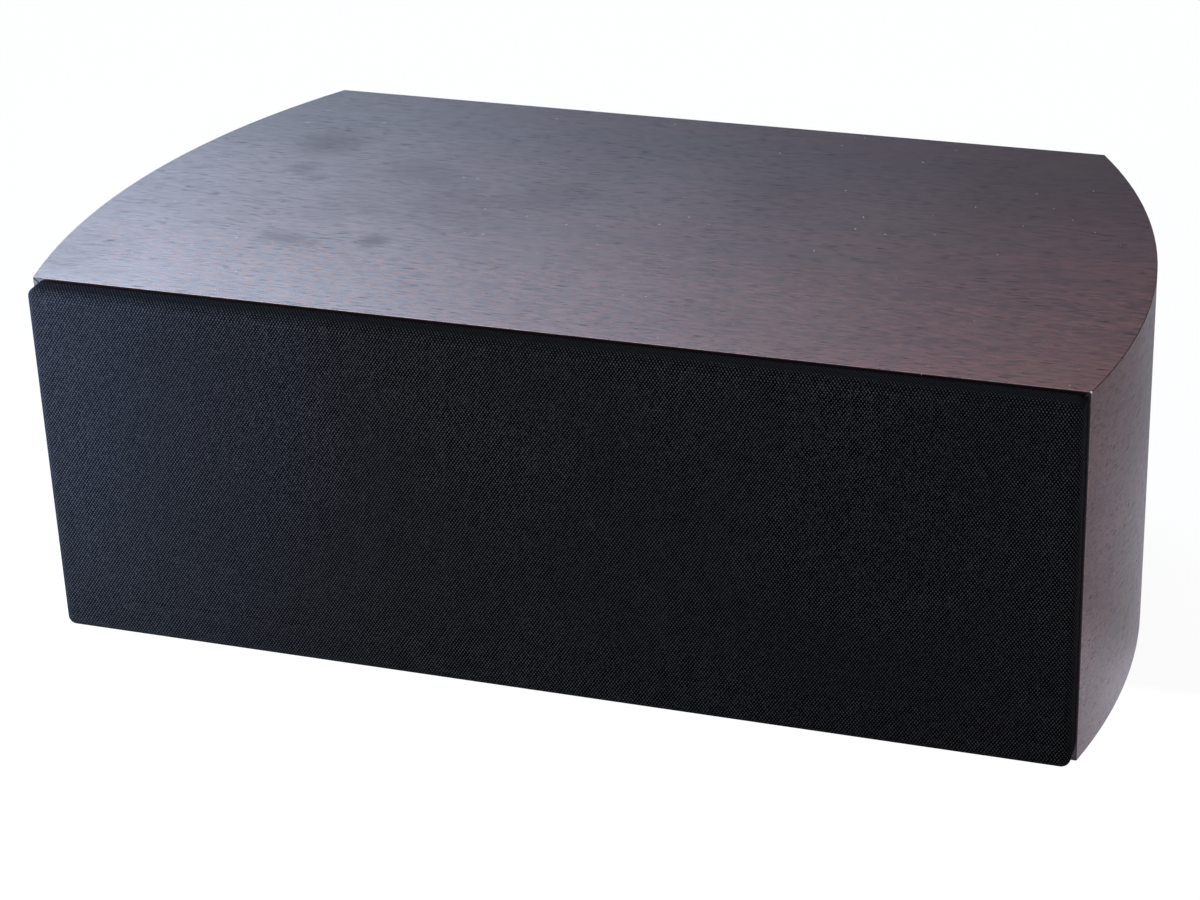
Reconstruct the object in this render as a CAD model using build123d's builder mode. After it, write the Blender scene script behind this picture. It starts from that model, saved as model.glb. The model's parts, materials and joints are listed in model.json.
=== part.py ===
from build123d import *
import math
import os

# Center channel speaker: a low veneered cabinet whose sides bow outwards and draw in towards the
# back, a cloth grille over the whole front, two woofers beside a raised tweeter, and a terminal
# cup between two ports at the rear. Millimetres. +X is right, +Y runs to the back, +Z is up.
# The origin is on the floor, under the middle of the whole object.

# Driving dimensions: cabinet, whose width and height follow from the drivers and these margins
driver_gap = 39.0
side_margin = 14.8
deck_margin = 5.5
back_narrowing = 88.0
cabinet_depth = 273.0
side_bow = 26.8
side_thickness = 18.0
deck_thickness = 15.0
baffle_thickness = 18.0
back_thickness = 18.0
panel_fit = 0.2
brace_gap = 1.0
brace_thickness = 12.0
foot_radius = 9.0
foot_height = 3.0
foot_chamfer = 0.8
foot_inset = 30.0
wadding_thickness = 28.0
wadding_magnet_gap = 13.0
wadding_back_gap = 6.0
wadding_round = 6.0

# Driving dimensions: grille
grille_inset = 1.3
grille_proud = 11.0
grille_gap = 0.3
grille_edge_radius = 3.6
grille_corner_radius = 4.5
cloth_thickness = 0.8
cloth_turn = 9.0
rail_width = 13.0
bar_step = 16.0
bar_width = 12.0
window_radius = 8.0
window_bevel = 2.0
peg_inset = 8.0
peg_radius = 3.0
peg_reach = 9.0
peg_spigot_radius = 2.4
peg_spigot_length = 5.0
peg_boss_radius = 7.0
socket_wall = 1.35
socket_lip = 1.6
socket_lip_thickness = 0.6
socket_floor = 1.2
peg_clearance = 0.15

# Driving dimensions: woofers; a step is counted inwards from the frame's rim, and a share is of
# the radius that it follows
flange_radius = 71.0
flange_thickness = 4.0
screw_circle_step = 4.6
basket_wall = 2.4
basket_shoulder_step = 11.5
basket_waist_step = 27.0
basket_waist_depth = 34.0
basket_depth = 46.0
basket_window_count = 6
basket_shoulder_land = 1.0
basket_shoulder_drop = 4.0
basket_floor_thickness = 2.0
basket_heel_rise = 4.0
basket_bore_step = 4.0
basket_window_rim = 7.0
basket_window_overlap = 3.0
basket_window_round = 4.0
woofer_cutout_clearance = 1.5
spider_ledge_width = 8.0
surround_seat_step = 9.0
roll_step = 13.5
roll_width = 10.0
surround_thickness = 0.8
cone_lip_step = 27.8
cone_thickness = 0.8
cone_depth = 21.0
cone_rim_gap = 0.2
cone_neck_gap = 0.1
coil_radius = 13.2
former_wall = 0.7
winding_thickness = 0.7
winding_length = 9.0
former_overlap = 2.0
dust_cap_radius = 17.5
dust_cap_rise = 7.0
dust_cap_lift = 0.3
spider_depth = 33.3
spider_thickness = 0.6
spider_wave = 1.3
spider_wave_count = 4
spider_inner_gap = 0.2
spider_outer_gap = 0.6
spider_inner_land = 2.0
spider_outer_land = 1.0
gap_clearance = 0.5
top_plate_share = 40 / 71
plate_thickness = 5.0
magnet_share = 45 / 71
magnet_bore_share = 22 / 45
magnet_thickness = 15.0
magnet_bevel = 1.5
pole_vent_radius = 4.0
pole_vent_bevel = 3.0

# Driving dimensions: tweeter
tweeter_rise = 19.5
faceplate_radius = 36.0
faceplate_thickness = 3.2
faceplate_screw_step = 4.0
horn_mouth_step = 9.0
horn_throat_radius = 16.8
horn_throat_land = 0.6
faceplate_bevel = 0.5
dome_radius = 12.6
dome_rise = 4.5
dome_thickness = 0.4
dome_roll_outer = 16.2
dome_foot_radius = 20.0
tweeter_magnet_step = 9.0
tweeter_magnet_bore = 17.0
tweeter_magnet_thickness = 8.0
tweeter_plate_thickness = 3.6
tweeter_coil_length = 5.2
tweeter_coil_gap = 0.2
tweeter_coil_wall = 0.7
tweeter_plate_step = 1.0
tweeter_cutout_clearance = 1.0

# Driving dimensions: screws
wood_screw_radius = 1.9
wood_screw_length = 16.0
wood_screw_head_radius = 3.3
small_screw_radius = 1.5
small_screw_length = 13.0
small_screw_head_radius = 2.7
screw_head_height = 2.0
screw_clearance = 0.15

# Driving dimensions: rear terminals
trim_thickness = 2.5
cup_flange_width = 92.0
cup_flange_height = 66.0
cup_flange_radius = 8.0
cup_width = 64.0
cup_height = 42.0
cup_corner_radius = 6.0
cup_depth = 24.0
cup_wall = 2.0
cup_draft = 4.0
cup_cut_clearance = 1.0
post_spacing = 19.05
post_radius = 3.0
post_bore_radius = 2.0
post_bore_depth = 12.0
post_rear_reach = 20.0
post_inner_reach = 14.0
post_collar_radius = 6.2
post_collar_thickness = 2.6
thread_clearance = 0.05
nut_insert_radius = 4.4
nut_insert_length = 9.0
nut_radius = 6.8
nut_length = 12.0
nut_ridge_count = 18
nut_ridge_depth = 0.5
nut_seat_gap = 0.3
lock_nut_radius = 5.4
lock_nut_thickness = 3.0

# Driving dimensions: ports
port_gap = 2.0
port_radius = 24.0
port_wall = 2.5
port_length = 112.0
port_flare_radius = 12.0
port_flange_land = 3.0
port_flange_bevel = 1.0
port_socket_step = 8.0
port_socket_depth = 6.0

# Driving dimensions: crossover
board_side_gap = 14.0
board_depth = 84.0
board_thickness = 1.6
board_back_gap = 16.0
standoff_height = 6.0
standoff_radius = 3.2
standoff_inset = 6.0
spool_share = 23 / 84
spool_height = 21.0
spool_flange = 1.6
spool_bore_radius = 7.0
winding_step = 2.0
small_choke_share = 15 / 84
small_choke_height = 12.0
capacitor_share = 9 / 84
capacitor_length = 38.0
resistor_share = 9.5 / 84
resistor_length = 44.0
part_lift = 0.2
board_corner_radius = 3.0
choke_side_gap = 9.0
small_choke_side_gap = 12.0
choke_end_gap = 4.0
small_choke_round = 1.5
capacitor_end_gap = 5.0
capacitor_gap = 8.0
capacitor_bevel = 1.5
resistor_shift = 4.0
resistor_bevel = 0.8

# Woofer radii
flange_screw_circle = flange_radius - screw_circle_step
basket_shoulder_radius = flange_radius - basket_shoulder_step
basket_waist_radius = flange_radius - basket_waist_step
surround_seat_radius = flange_radius - surround_seat_step
roll_outer_radius = flange_radius - roll_step
roll_inner_radius = roll_outer_radius - roll_width
cone_lip_radius = flange_radius - cone_lip_step
top_plate_radius = flange_radius * top_plate_share
magnet_radius = flange_radius * magnet_share
magnet_bore_radius = magnet_radius * magnet_bore_share
woofer_cutout_radius = basket_shoulder_radius + woofer_cutout_clearance

# Tweeter and port radii
faceplate_screw_circle = faceplate_radius - faceplate_screw_step
horn_mouth_radius = faceplate_radius - horn_mouth_step
tweeter_magnet_radius = faceplate_radius - tweeter_magnet_step
port_flange_radius = port_radius + port_flare_radius + port_flange_land
port_socket_radius = port_radius + port_socket_step

# Widths across the cabinet: tweeter in the middle, then a gap, a woofer and the side
woofer_x = faceplate_radius + driver_gap + flange_radius
front_width = 2 * (woofer_x + flange_radius + side_margin + panel_fit + side_thickness)
back_width = front_width - back_narrowing
bar_x = faceplate_radius + bar_step
brace_x = woofer_x - woofer_cutout_radius - brace_gap - brace_thickness / 2
port_x = brace_x + brace_thickness / 2 + port_socket_radius + port_gap
board_width = 2 * (brace_x - brace_thickness / 2 - board_side_gap)

# Heights and depths
cabinet_height = 2 * (flange_radius + deck_margin + deck_thickness)
rear_proud = trim_thickness + screw_head_height
front_y = (grille_proud - cabinet_depth - rear_proud) / 2
base_z = foot_height
top_z = base_z + cabinet_height
middle_z = base_z + cabinet_height / 2
chamber_front = baffle_thickness
chamber_back = cabinet_depth - back_thickness
floor_z = base_z + deck_thickness
ceiling_z = top_z - deck_thickness
woofer_z = middle_z
tweeter_z = middle_z + tweeter_rise

# The side's plan is one circular arc from the front corner to the back corner.
taper = (front_width - back_width) / 2
side_chord = math.hypot(taper, cabinet_depth)
side_radius = side_chord**2 / (8 * side_bow) + side_bow / 2
side_lean = math.atan2(taper, cabinet_depth)
side_centre_x = (front_width + back_width) / 4 - (side_radius - side_bow) * math.cos(side_lean)
side_centre_depth = cabinet_depth / 2 - (side_radius - side_bow) * math.sin(side_lean)

os.makedirs("parts", exist_ok=True)


def save(piece, name):
    """Labels a finished piece and writes its file."""
    piece.part.label = name
    export_step(piece.part, f"parts/{name}.step")


def side_x(depth, inset):
    """Half the cabinet's width at a depth behind its front, drawn in by inset."""
    reach = (side_radius - inset) ** 2 - (depth - side_centre_depth) ** 2
    return side_centre_x + math.sqrt(reach)


def plan_sketch(inset, near, far, height):
    """The cabinet's plan between two depths, drawn in from its curved sides."""
    depths = (near, (near + far) / 2, far)
    right = [(side_x(depth, inset), front_y + depth) for depth in depths]
    left = [(-x, y) for x, y in reversed(right)]
    with BuildSketch(Plane.XY.offset(height)) as plan:
        with BuildLine():
            ThreePointArc(*right)
            Line(right[-1], left[0])
            ThreePointArc(*left)
            Line(left[-1], right[0])
        make_face()
    return plan.sketch


def front_plane(x, depth, z):
    """A plane that faces the listener, at a depth behind the cabinet's front."""
    return Plane(origin=(x, front_y + depth, z), x_dir=(1, 0, 0), z_dir=(0, -1, 0))


def turning_plane(x, z):
    """A level plane through a driver's axis: its x is the radius, its y the depth."""
    return Plane(origin=(x, front_y, z), x_dir=(1, 0, 0), z_dir=(0, 0, 1))


def turning_axis(x, z):
    return Axis((x, front_y, z), (0, 1, 0))


def turned(x, z, *outline):
    """A part turned about a front-to-back axis from an outline of radius and depth."""
    with BuildPart() as piece:
        with BuildSketch(turning_plane(x, z)):
            with BuildLine():
                Polyline(*outline, close=True)
            make_face()
        revolve(axis=turning_axis(x, z))
    return piece


def screw_set(places, shank_radius, length, head_radius, head_depth):
    """Pan-head screws driven in from the front at (x, z) places, heads seated at head_depth."""
    with BuildPart() as screws:
        with BuildSketch(front_plane(0, head_depth, 0)):
            with Locations(*places):
                Circle(shank_radius)
        extrude(amount=-length)
        with BuildSketch(front_plane(0, head_depth, 0)):
            with Locations(*places):
                Circle(head_radius)
        extrude(amount=screw_head_height)
        heads = screws.faces().filter_by(Axis.Y).sort_by(Axis.Y)[: len(places)]
        chamfer(heads.edges(), length=screw_head_height * 0.3)
    return screws


# Cabinet sides: full height, mitred to the top and bottom along their curved edges
side_outer_x = side_centre_x + side_radius
side_inner_x = side_outer_x - side_thickness
with BuildPart() as side_panel_right:
    with BuildSketch(Plane.XZ.offset(-front_y - side_centre_depth)):
        with BuildLine():
            Polyline(
                (side_outer_x, base_z),
                (side_outer_x, top_z),
                (side_inner_x, ceiling_z),
                (side_inner_x, floor_z),
                close=True,
            )
        make_face()
    revolve(axis=Axis((side_centre_x, front_y + side_centre_depth, 0), (0, 0, 1)))
    with BuildSketch(Plane.XY.offset(base_z)):
        with Locations((front_width / 2, front_y + cabinet_depth / 2)):
            Rectangle(front_width / 2, cabinet_depth)
    extrude(amount=cabinet_height, mode=Mode.INTERSECT)
save(side_panel_right, "side_panel_right")

with BuildPart() as side_panel_left:
    mirror(side_panel_right.part, about=Plane.YZ)
save(side_panel_left, "side_panel_left")

# Cabinet top and bottom: what the mitres of the two sides leave of the plan
with BuildPart() as top_panel:
    extrude(plan_sketch(0, 0, cabinet_depth, ceiling_z), amount=deck_thickness)
    add(side_panel_right.part, mode=Mode.SUBTRACT)
    add(side_panel_left.part, mode=Mode.SUBTRACT)
save(top_panel, "top_panel")

with BuildPart() as bottom_panel:
    extrude(plan_sketch(0, 0, cabinet_depth, base_z), amount=deck_thickness)
    add(side_panel_right.part, mode=Mode.SUBTRACT)
    add(side_panel_left.part, mode=Mode.SUBTRACT)
save(bottom_panel, "bottom_panel")

# Where the grille's pegs and the drivers' screws go
peg_low_z = floor_z + peg_inset
peg_high_z = ceiling_z - peg_inset
peg_far_x = side_x(0, side_thickness) - peg_inset
peg_places = [
    (x, z)
    for x in (-peg_far_x, -bar_x, bar_x, peg_far_x)
    for z in (peg_low_z, peg_high_z)
]
socket_radius = peg_radius + peg_clearance + socket_wall
socket_depth = peg_reach + socket_floor


def ring_places(x, z, radius, count, first):
    """Places round a circle, the first at an angle from +X."""
    angles = [math.radians(first + 360 / count * i) for i in range(count)]
    return [(x + radius * math.cos(a), z + radius * math.sin(a)) for a in angles]


driver_screw_count = 4
first_screw_angle = 45.0
woofer_screw_places = [
    place
    for x in (-woofer_x, woofer_x)
    for place in ring_places(x, woofer_z, flange_screw_circle, driver_screw_count, first_screw_angle)
]
tweeter_screw_places = ring_places(
    0, tweeter_z, faceplate_screw_circle, driver_screw_count, first_screw_angle
)
woofer_screw_seat = flange_thickness * 0.4
tweeter_screw_seat = faceplate_thickness * 0.5
driver_recess_fit = 0.3
tweeter_cutout_radius = tweeter_magnet_radius + tweeter_cutout_clearance

# Front baffle: set between the panels, with a stepped hole for each driver
with BuildPart() as front_baffle:
    extrude(
        plan_sketch(side_thickness + panel_fit, 0, baffle_thickness, floor_z),
        amount=ceiling_z - floor_z,
    )
    with BuildSketch(front_plane(0, 0, 0)):
        with Locations((-woofer_x, woofer_z), (woofer_x, woofer_z)):
            Circle(flange_radius + driver_recess_fit)
    extrude(amount=-flange_thickness, mode=Mode.SUBTRACT)
    with BuildSketch(front_plane(0, 0, 0)):
        with Locations((0, tweeter_z)):
            Circle(faceplate_radius + driver_recess_fit)
    extrude(amount=-faceplate_thickness, mode=Mode.SUBTRACT)
    with BuildSketch(front_plane(0, 0, 0)):
        with Locations((-woofer_x, woofer_z), (woofer_x, woofer_z)):
            Circle(woofer_cutout_radius)
        with Locations((0, tweeter_z)):
            Circle(tweeter_cutout_radius)
    extrude(amount=-baffle_thickness, mode=Mode.SUBTRACT)
    with BuildSketch(front_plane(0, 0, 0)):
        with Locations(*peg_places):
            Circle(socket_radius)
    extrude(amount=-socket_depth, mode=Mode.SUBTRACT)
    with BuildSketch(front_plane(0, 0, 0)):
        with Locations(*woofer_screw_places):
            Circle(wood_screw_radius + screw_clearance)
    extrude(amount=-(woofer_screw_seat + wood_screw_length), mode=Mode.SUBTRACT)
    with BuildSketch(front_plane(0, 0, 0)):
        with Locations(*tweeter_screw_places):
            Circle(small_screw_radius + screw_clearance)
    extrude(amount=-(tweeter_screw_seat + small_screw_length), mode=Mode.SUBTRACT)
save(front_baffle, "front_baffle")

# Back panel: set between the panels, cut for the terminal cup and the two ports
cup_cut_width = cup_width + 2 * cup_wall + cup_cut_clearance
cup_cut_height = cup_height + 2 * cup_wall + cup_cut_clearance
port_hole_radius = port_socket_radius + driver_recess_fit
cup_screw_x = cup_flange_width / 2 - cup_flange_radius
cup_screw_z = cup_flange_height / 2 - cup_flange_radius
cup_screw_places = [
    (x, middle_z + z) for x in (-cup_screw_x, cup_screw_x) for z in (-cup_screw_z, cup_screw_z)
]
with BuildPart() as back_panel:
    extrude(
        plan_sketch(side_thickness + panel_fit, chamber_back, cabinet_depth, floor_z),
        amount=ceiling_z - floor_z,
    )
    with BuildSketch(front_plane(0, chamber_back, 0)):
        with Locations((0, middle_z)):
            RectangleRounded(cup_cut_width, cup_cut_height, cup_corner_radius + cup_wall)
        with Locations((-port_x, middle_z), (port_x, middle_z)):
            Circle(port_hole_radius)
    extrude(amount=-back_thickness, mode=Mode.SUBTRACT)
    with BuildSketch(front_plane(0, cabinet_depth, 0)):
        with Locations(*cup_screw_places):
            Circle(small_screw_radius + screw_clearance)
    extrude(amount=small_screw_length, mode=Mode.SUBTRACT)
save(back_panel, "back_panel")

# Window braces: two uprights from the baffle to the back, with wide holes for the air
brace_windows = 2
brace_length = chamber_back - chamber_front
brace_rib = 22.0
brace_window_length = (brace_length - brace_rib * (brace_windows + 1)) / brace_windows
brace_window_height = ceiling_z - floor_z - 2 * brace_rib
brace_window_radius = 20.0


def make_brace(x):
    with BuildPart() as brace:
        with BuildSketch(Plane.YZ.offset(x - brace_thickness / 2)):
            with Locations((front_y + (chamber_front + chamber_back) / 2, middle_z)):
                Rectangle(brace_length, ceiling_z - floor_z)
            with Locations((front_y + (chamber_front + chamber_back) / 2, middle_z)):
                with GridLocations(brace_window_length + brace_rib, 0, brace_windows, 1):
                    RectangleRounded(
                        brace_window_length,
                        brace_window_height,
                        brace_window_radius,
                        mode=Mode.SUBTRACT,
                    )
        extrude(amount=brace_thickness)
    return brace


save(make_brace(-brace_x), "brace_left")
save(make_brace(brace_x), "brace_right")

# Rubber feet: four low pads under the bottom panel
foot_front_depth = foot_inset
foot_back_depth = cabinet_depth - foot_inset
foot_places = [
    (sign * (side_x(depth, side_thickness) - foot_radius), front_y + depth)
    for depth in (foot_front_depth, foot_back_depth)
    for sign in (-1, 1)
]
with BuildPart() as feet:
    with BuildSketch(Plane.XY):
        with Locations(*foot_places):
            Circle(foot_radius)
    extrude(amount=foot_height)
    chamfer(feet.faces().filter_by(Axis.Z).group_by(Axis.Z)[0].edges(), length=foot_chamfer)
save(feet, "feet")

# Wadding: a soft pad on the floor of each outer chamber, cut to the curve of the side
wadding_gap = 1.0
wadding_front = basket_depth + 2 * plate_thickness + magnet_thickness + wadding_magnet_gap
wadding_back = chamber_back - wadding_back_gap


def make_wadding(sign):
    near_x = brace_x + brace_thickness / 2 + wadding_gap
    inset = side_thickness + wadding_gap
    depths = (wadding_front, (wadding_front + wadding_back) / 2, wadding_back)
    curve = [(sign * side_x(depth, inset), front_y + depth) for depth in depths]
    with BuildPart() as pad:
        with BuildSketch(Plane.XY.offset(floor_z + part_lift)):
            with BuildLine():
                ThreePointArc(*curve)
                Line(curve[-1], (sign * near_x, front_y + wadding_back))
                Line((sign * near_x, front_y + wadding_back), (sign * near_x, front_y + wadding_front))
                Line((sign * near_x, front_y + wadding_front), curve[0])
            make_face()
        extrude(amount=wadding_thickness)
        fillet(pad.faces().sort_by(Axis.Z)[-1].edges(), radius=wadding_round)
    return pad


save(make_wadding(-1), "wadding_left")
save(make_wadding(1), "wadding_right")


# Grille: a slab with rounded corners and rounded front edges, the shape of frame and cloth
def grille_slab(inset, back, front, edge_radius):
    width = front_width - 2 * (grille_inset + inset)
    height = cabinet_height - 2 * (grille_inset + inset)
    with BuildPart() as slab:
        with BuildSketch(front_plane(0, -back, middle_z)):
            RectangleRounded(width, height, grille_corner_radius - inset)
        extrude(amount=front - back)
        fillet(slab.faces().sort_by(Axis.Y)[0].edges(), radius=edge_radius)
    return slab.part


frame_back = grille_gap + cloth_thickness
frame_front = grille_proud - cloth_thickness
rail_inner_x = front_width / 2 - grille_inset - cloth_thickness - rail_width
rail_low_z = base_z + grille_inset + cloth_thickness + rail_width
rail_high_z = top_z - grille_inset - cloth_thickness - rail_width
window_height = rail_high_z - rail_low_z
middle_window_width = 2 * bar_x - bar_width
side_window_width = rail_inner_x - bar_x - bar_width / 2
side_window_x = bar_x + bar_width / 2 + side_window_width / 2
boss_stem_length = (peg_low_z - rail_low_z) + peg_boss_radius

with BuildPart() as grille_frame:
    add(grille_slab(cloth_thickness, frame_back, frame_front, grille_edge_radius - cloth_thickness))
    with BuildSketch(front_plane(0, -frame_back, 0)) as windows:
        with Locations((0, middle_z)):
            RectangleRounded(middle_window_width, window_height, window_radius)
        with Locations((-side_window_x, middle_z), (side_window_x, middle_z)):
            RectangleRounded(side_window_width, window_height, window_radius)
        with Locations(*peg_places):
            Circle(peg_boss_radius, mode=Mode.SUBTRACT)
        with Locations(*[(x, peg_low_z - boss_stem_length / 2) for x, z in peg_places[::2]]):
            Rectangle(2 * peg_boss_radius, boss_stem_length, mode=Mode.SUBTRACT)
        with Locations(*[(x, peg_high_z + boss_stem_length / 2) for x, z in peg_places[::2]]):
            Rectangle(2 * peg_boss_radius, boss_stem_length, mode=Mode.SUBTRACT)
    extrude(amount=frame_front - frame_back, mode=Mode.SUBTRACT)
    rear_face = grille_frame.faces().sort_by(Axis.Y)[-1]
    chamfer([edge for wire in rear_face.inner_wires() for edge in wire.edges()], length=window_bevel)
    with BuildSketch(front_plane(0, -frame_back, 0)):
        with Locations(*peg_places):
            Circle(peg_spigot_radius)
    extrude(amount=peg_spigot_length, mode=Mode.SUBTRACT)
save(grille_frame, "grille_frame")

with BuildPart() as grille_cloth:
    add(grille_slab(0, grille_gap, grille_proud, grille_edge_radius))
    add(
        grille_slab(cloth_thickness, frame_back, frame_front, grille_edge_radius - cloth_thickness),
        mode=Mode.SUBTRACT,
    )
    with BuildSketch(front_plane(0, -grille_gap, middle_z)):
        RectangleRounded(
            front_width - 2 * (grille_inset + cloth_turn),
            cabinet_height - 2 * (grille_inset + cloth_turn),
            grille_corner_radius,
        )
    extrude(amount=cloth_thickness, mode=Mode.SUBTRACT)
save(grille_cloth, "grille_cloth")

# Grille pegs: eight pins on the frame, and the cups in the baffle that hold them
peg_tip = 1.2
with BuildPart() as grille_pegs:
    with BuildSketch(front_plane(0, peg_reach, 0)):
        with Locations(*peg_places):
            Circle(peg_radius)
    extrude(amount=peg_reach + frame_back)
    chamfer(grille_pegs.faces().filter_by(Axis.Y).group_by(Axis.Y)[-1].edges(), length=peg_tip)
    with BuildSketch(front_plane(0, -frame_back, 0)):
        with Locations(*peg_places):
            Circle(peg_spigot_radius)
    extrude(amount=peg_spigot_length)
save(grille_pegs, "grille_pegs")

with BuildPart() as peg_sockets:
    with BuildSketch(front_plane(0, socket_depth, 0)):
        with Locations(*peg_places):
            Circle(socket_radius)
    extrude(amount=socket_depth)
    with BuildSketch(front_plane(0, 0, 0)):
        with Locations(*peg_places):
            Circle(socket_radius + socket_lip)
    extrude(amount=socket_lip_thickness)
    with BuildSketch(front_plane(0, peg_reach + peg_clearance, 0)):
        with Locations(*peg_places):
            Circle(peg_radius + peg_clearance)
    extrude(amount=peg_reach + peg_clearance + socket_lip_thickness, mode=Mode.SUBTRACT)
save(peg_sockets, "peg_sockets")

# Woofer depths behind the baffle's front
basket_floor_depth = basket_depth - basket_floor_thickness
basket_shoulder_depth = flange_thickness + basket_shoulder_drop
top_plate_back = basket_depth + plate_thickness
magnet_back = top_plate_back + magnet_thickness
pole_plate_back = magnet_back + plate_thickness
pole_radius = coil_radius - former_wall - gap_clearance
plate_bore_radius = coil_radius + winding_thickness + gap_clearance
basket_bore_radius = plate_bore_radius + basket_bore_step
spider_ledge_radius = basket_waist_radius - spider_ledge_width
cone_slope = (cone_depth - surround_thickness) / (cone_lip_radius - coil_radius)
cone_rim_radius = roll_inner_radius - cone_rim_gap


def make_basket(x):
    """The cast frame: flange, tapering wall with windows, and the ledge that holds the spider."""
    with BuildPart() as basket:
        with BuildSketch(turning_plane(x, woofer_z)):
            with BuildLine():
                Polyline(
                    (flange_radius, 0),
                    (flange_radius, flange_thickness),
                    (basket_shoulder_radius + basket_shoulder_land, flange_thickness),
                    (basket_shoulder_radius, basket_shoulder_depth),
                    (basket_waist_radius, basket_waist_depth),
                    (basket_waist_radius, basket_floor_depth - basket_heel_rise),
                    (top_plate_radius, basket_depth),
                    (basket_bore_radius, basket_depth),
                    (basket_bore_radius, basket_floor_depth),
                    (spider_ledge_radius, basket_floor_depth),
                    (spider_ledge_radius, spider_depth + spider_thickness),
                    (basket_waist_radius - basket_wall, spider_depth + spider_thickness),
                    (basket_shoulder_radius - basket_wall, basket_shoulder_depth),
                    (roll_outer_radius - surround_thickness, surround_thickness),
                    (surround_seat_radius, surround_thickness),
                    (surround_seat_radius, 0),
                    close=True,
                )
            make_face()
        revolve(axis=turning_axis(x, woofer_z))
        window_near = spider_ledge_radius - basket_window_overlap
        window_far = flange_radius - basket_window_rim
        near_half = window_near / 3
        far_half = window_far * 0.39
        with BuildSketch(front_plane(x, basket_shoulder_depth + 1, woofer_z)) as openings:
            with PolarLocations(0, basket_window_count):
                Polygon(
                    (window_near, -near_half),
                    (window_far, -far_half),
                    (window_far, far_half),
                    (window_near, near_half),
                    align=None,
                )
            fillet(openings.vertices(), radius=basket_window_round)
        extrude(amount=-(spider_depth - basket_shoulder_depth - 3), mode=Mode.SUBTRACT)
        places = ring_places(0, 0, flange_screw_circle, driver_screw_count, first_screw_angle)
        with BuildSketch(front_plane(x, 0, woofer_z)):
            with Locations(*places):
                Circle(wood_screw_head_radius + screw_clearance)
        extrude(amount=-woofer_screw_seat, mode=Mode.SUBTRACT)
        with BuildSketch(front_plane(x, 0, woofer_z)):
            with Locations(*places):
                Circle(wood_screw_radius + screw_clearance)
        extrude(amount=-flange_thickness, mode=Mode.SUBTRACT)
    return basket


def make_surround(x):
    """The half-roll rubber edge between the basket's flange and the cone's rim."""
    roll_middle = (roll_outer_radius + roll_inner_radius) / 2
    roll_rise = (roll_outer_radius - roll_inner_radius) / 2
    inside = surround_thickness
    with BuildPart() as surround:
        with BuildSketch(turning_plane(x, woofer_z)):
            with BuildLine():
                Line((surround_seat_radius, 0), (roll_outer_radius, 0))
                ThreePointArc((roll_outer_radius, 0), (roll_middle, -roll_rise), (roll_inner_radius, 0))
                Polyline(
                    (roll_inner_radius, 0),
                    (cone_lip_radius, 0),
                    (cone_lip_radius, inside),
                    (roll_inner_radius + inside, inside),
                    (roll_inner_radius + inside, 0),
                )
                ThreePointArc(
                    (roll_inner_radius + inside, 0),
                    (roll_middle, inside - roll_rise),
                    (roll_outer_radius - inside, 0),
                )
                Polyline(
                    (roll_outer_radius - inside, 0),
                    (roll_outer_radius - inside, inside),
                    (surround_seat_radius, inside),
                    (surround_seat_radius, 0),
                )
            make_face()
        revolve(axis=turning_axis(x, woofer_z))
    return surround


def make_cone(x):
    """The cone: a flat rim under the surround, and straight sides down to the coil former."""
    rim = surround_thickness
    neck = coil_radius + cone_neck_gap
    return turned(
        x,
        woofer_z,
        (cone_rim_radius, rim),
        (cone_lip_radius, rim),
        (neck, cone_depth),
        (neck, cone_depth + cone_thickness * 1.5),
        (cone_lip_radius, rim + cone_thickness),
        (cone_rim_radius, rim + cone_thickness),
    )


def cap_points(radius, rise, edge):
    """Start, middle and end of a shallow dome's section, from its crown to its edge."""
    ball = (radius**2 + rise**2) / (2 * rise)
    half_angle = math.asin(radius / ball) / 2
    middle = (ball * math.sin(half_angle), edge - rise + ball * (1 - math.cos(half_angle)))
    return (0, edge - rise), middle, (radius, edge)


def make_dust_cap(x):
    """The small dome that closes the cone's middle."""
    edge = surround_thickness + (cone_lip_radius - dust_cap_radius) * cone_slope - dust_cap_lift
    front = cap_points(dust_cap_radius, dust_cap_rise, edge)
    back = cap_points(dust_cap_radius - cone_thickness, dust_cap_rise - cone_thickness, edge)
    with BuildPart() as cap:
        with BuildSketch(turning_plane(x, woofer_z)):
            with BuildLine():
                ThreePointArc(*front)
                Line(front[-1], back[-1])
                ThreePointArc(*reversed(back))
                Line(back[0], front[0])
            make_face()
        revolve(axis=turning_axis(x, woofer_z))
    return cap


def make_voice_coil(x):
    """The former with its winding, hanging in the magnet's gap."""
    start = cone_depth - former_overlap
    end = top_plate_back + winding_length / 4
    return turned(
        x,
        woofer_z,
        (coil_radius - former_wall, start),
        (coil_radius - former_wall, end),
        (coil_radius + winding_thickness, end),
        (coil_radius + winding_thickness, end - winding_length),
        (coil_radius, end - winding_length),
        (coil_radius, start),
    )


def make_spider(x):
    """The corrugated disc that centres the coil."""
    inner = coil_radius + spider_inner_gap
    outer = basket_waist_radius - basket_wall - spider_outer_gap
    wave_start = inner + spider_inner_land
    wave_end = spider_ledge_radius - spider_outer_land
    step = (wave_end - wave_start) / (2 * spider_wave_count)
    crest = [
        (wave_start + step * i, spider_depth - (spider_wave if i % 2 else 0))
        for i in range(2 * spider_wave_count + 1)
    ]
    front = [(inner, spider_depth), *crest, (outer, spider_depth)]
    back = [(r, y + spider_thickness) for r, y in reversed(front)]
    return turned(x, woofer_z, *front, *back)


def make_top_plate(x):
    return turned(
        x,
        woofer_z,
        (plate_bore_radius, basket_depth),
        (top_plate_radius, basket_depth),
        (top_plate_radius, top_plate_back),
        (plate_bore_radius, top_plate_back),
    )


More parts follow.
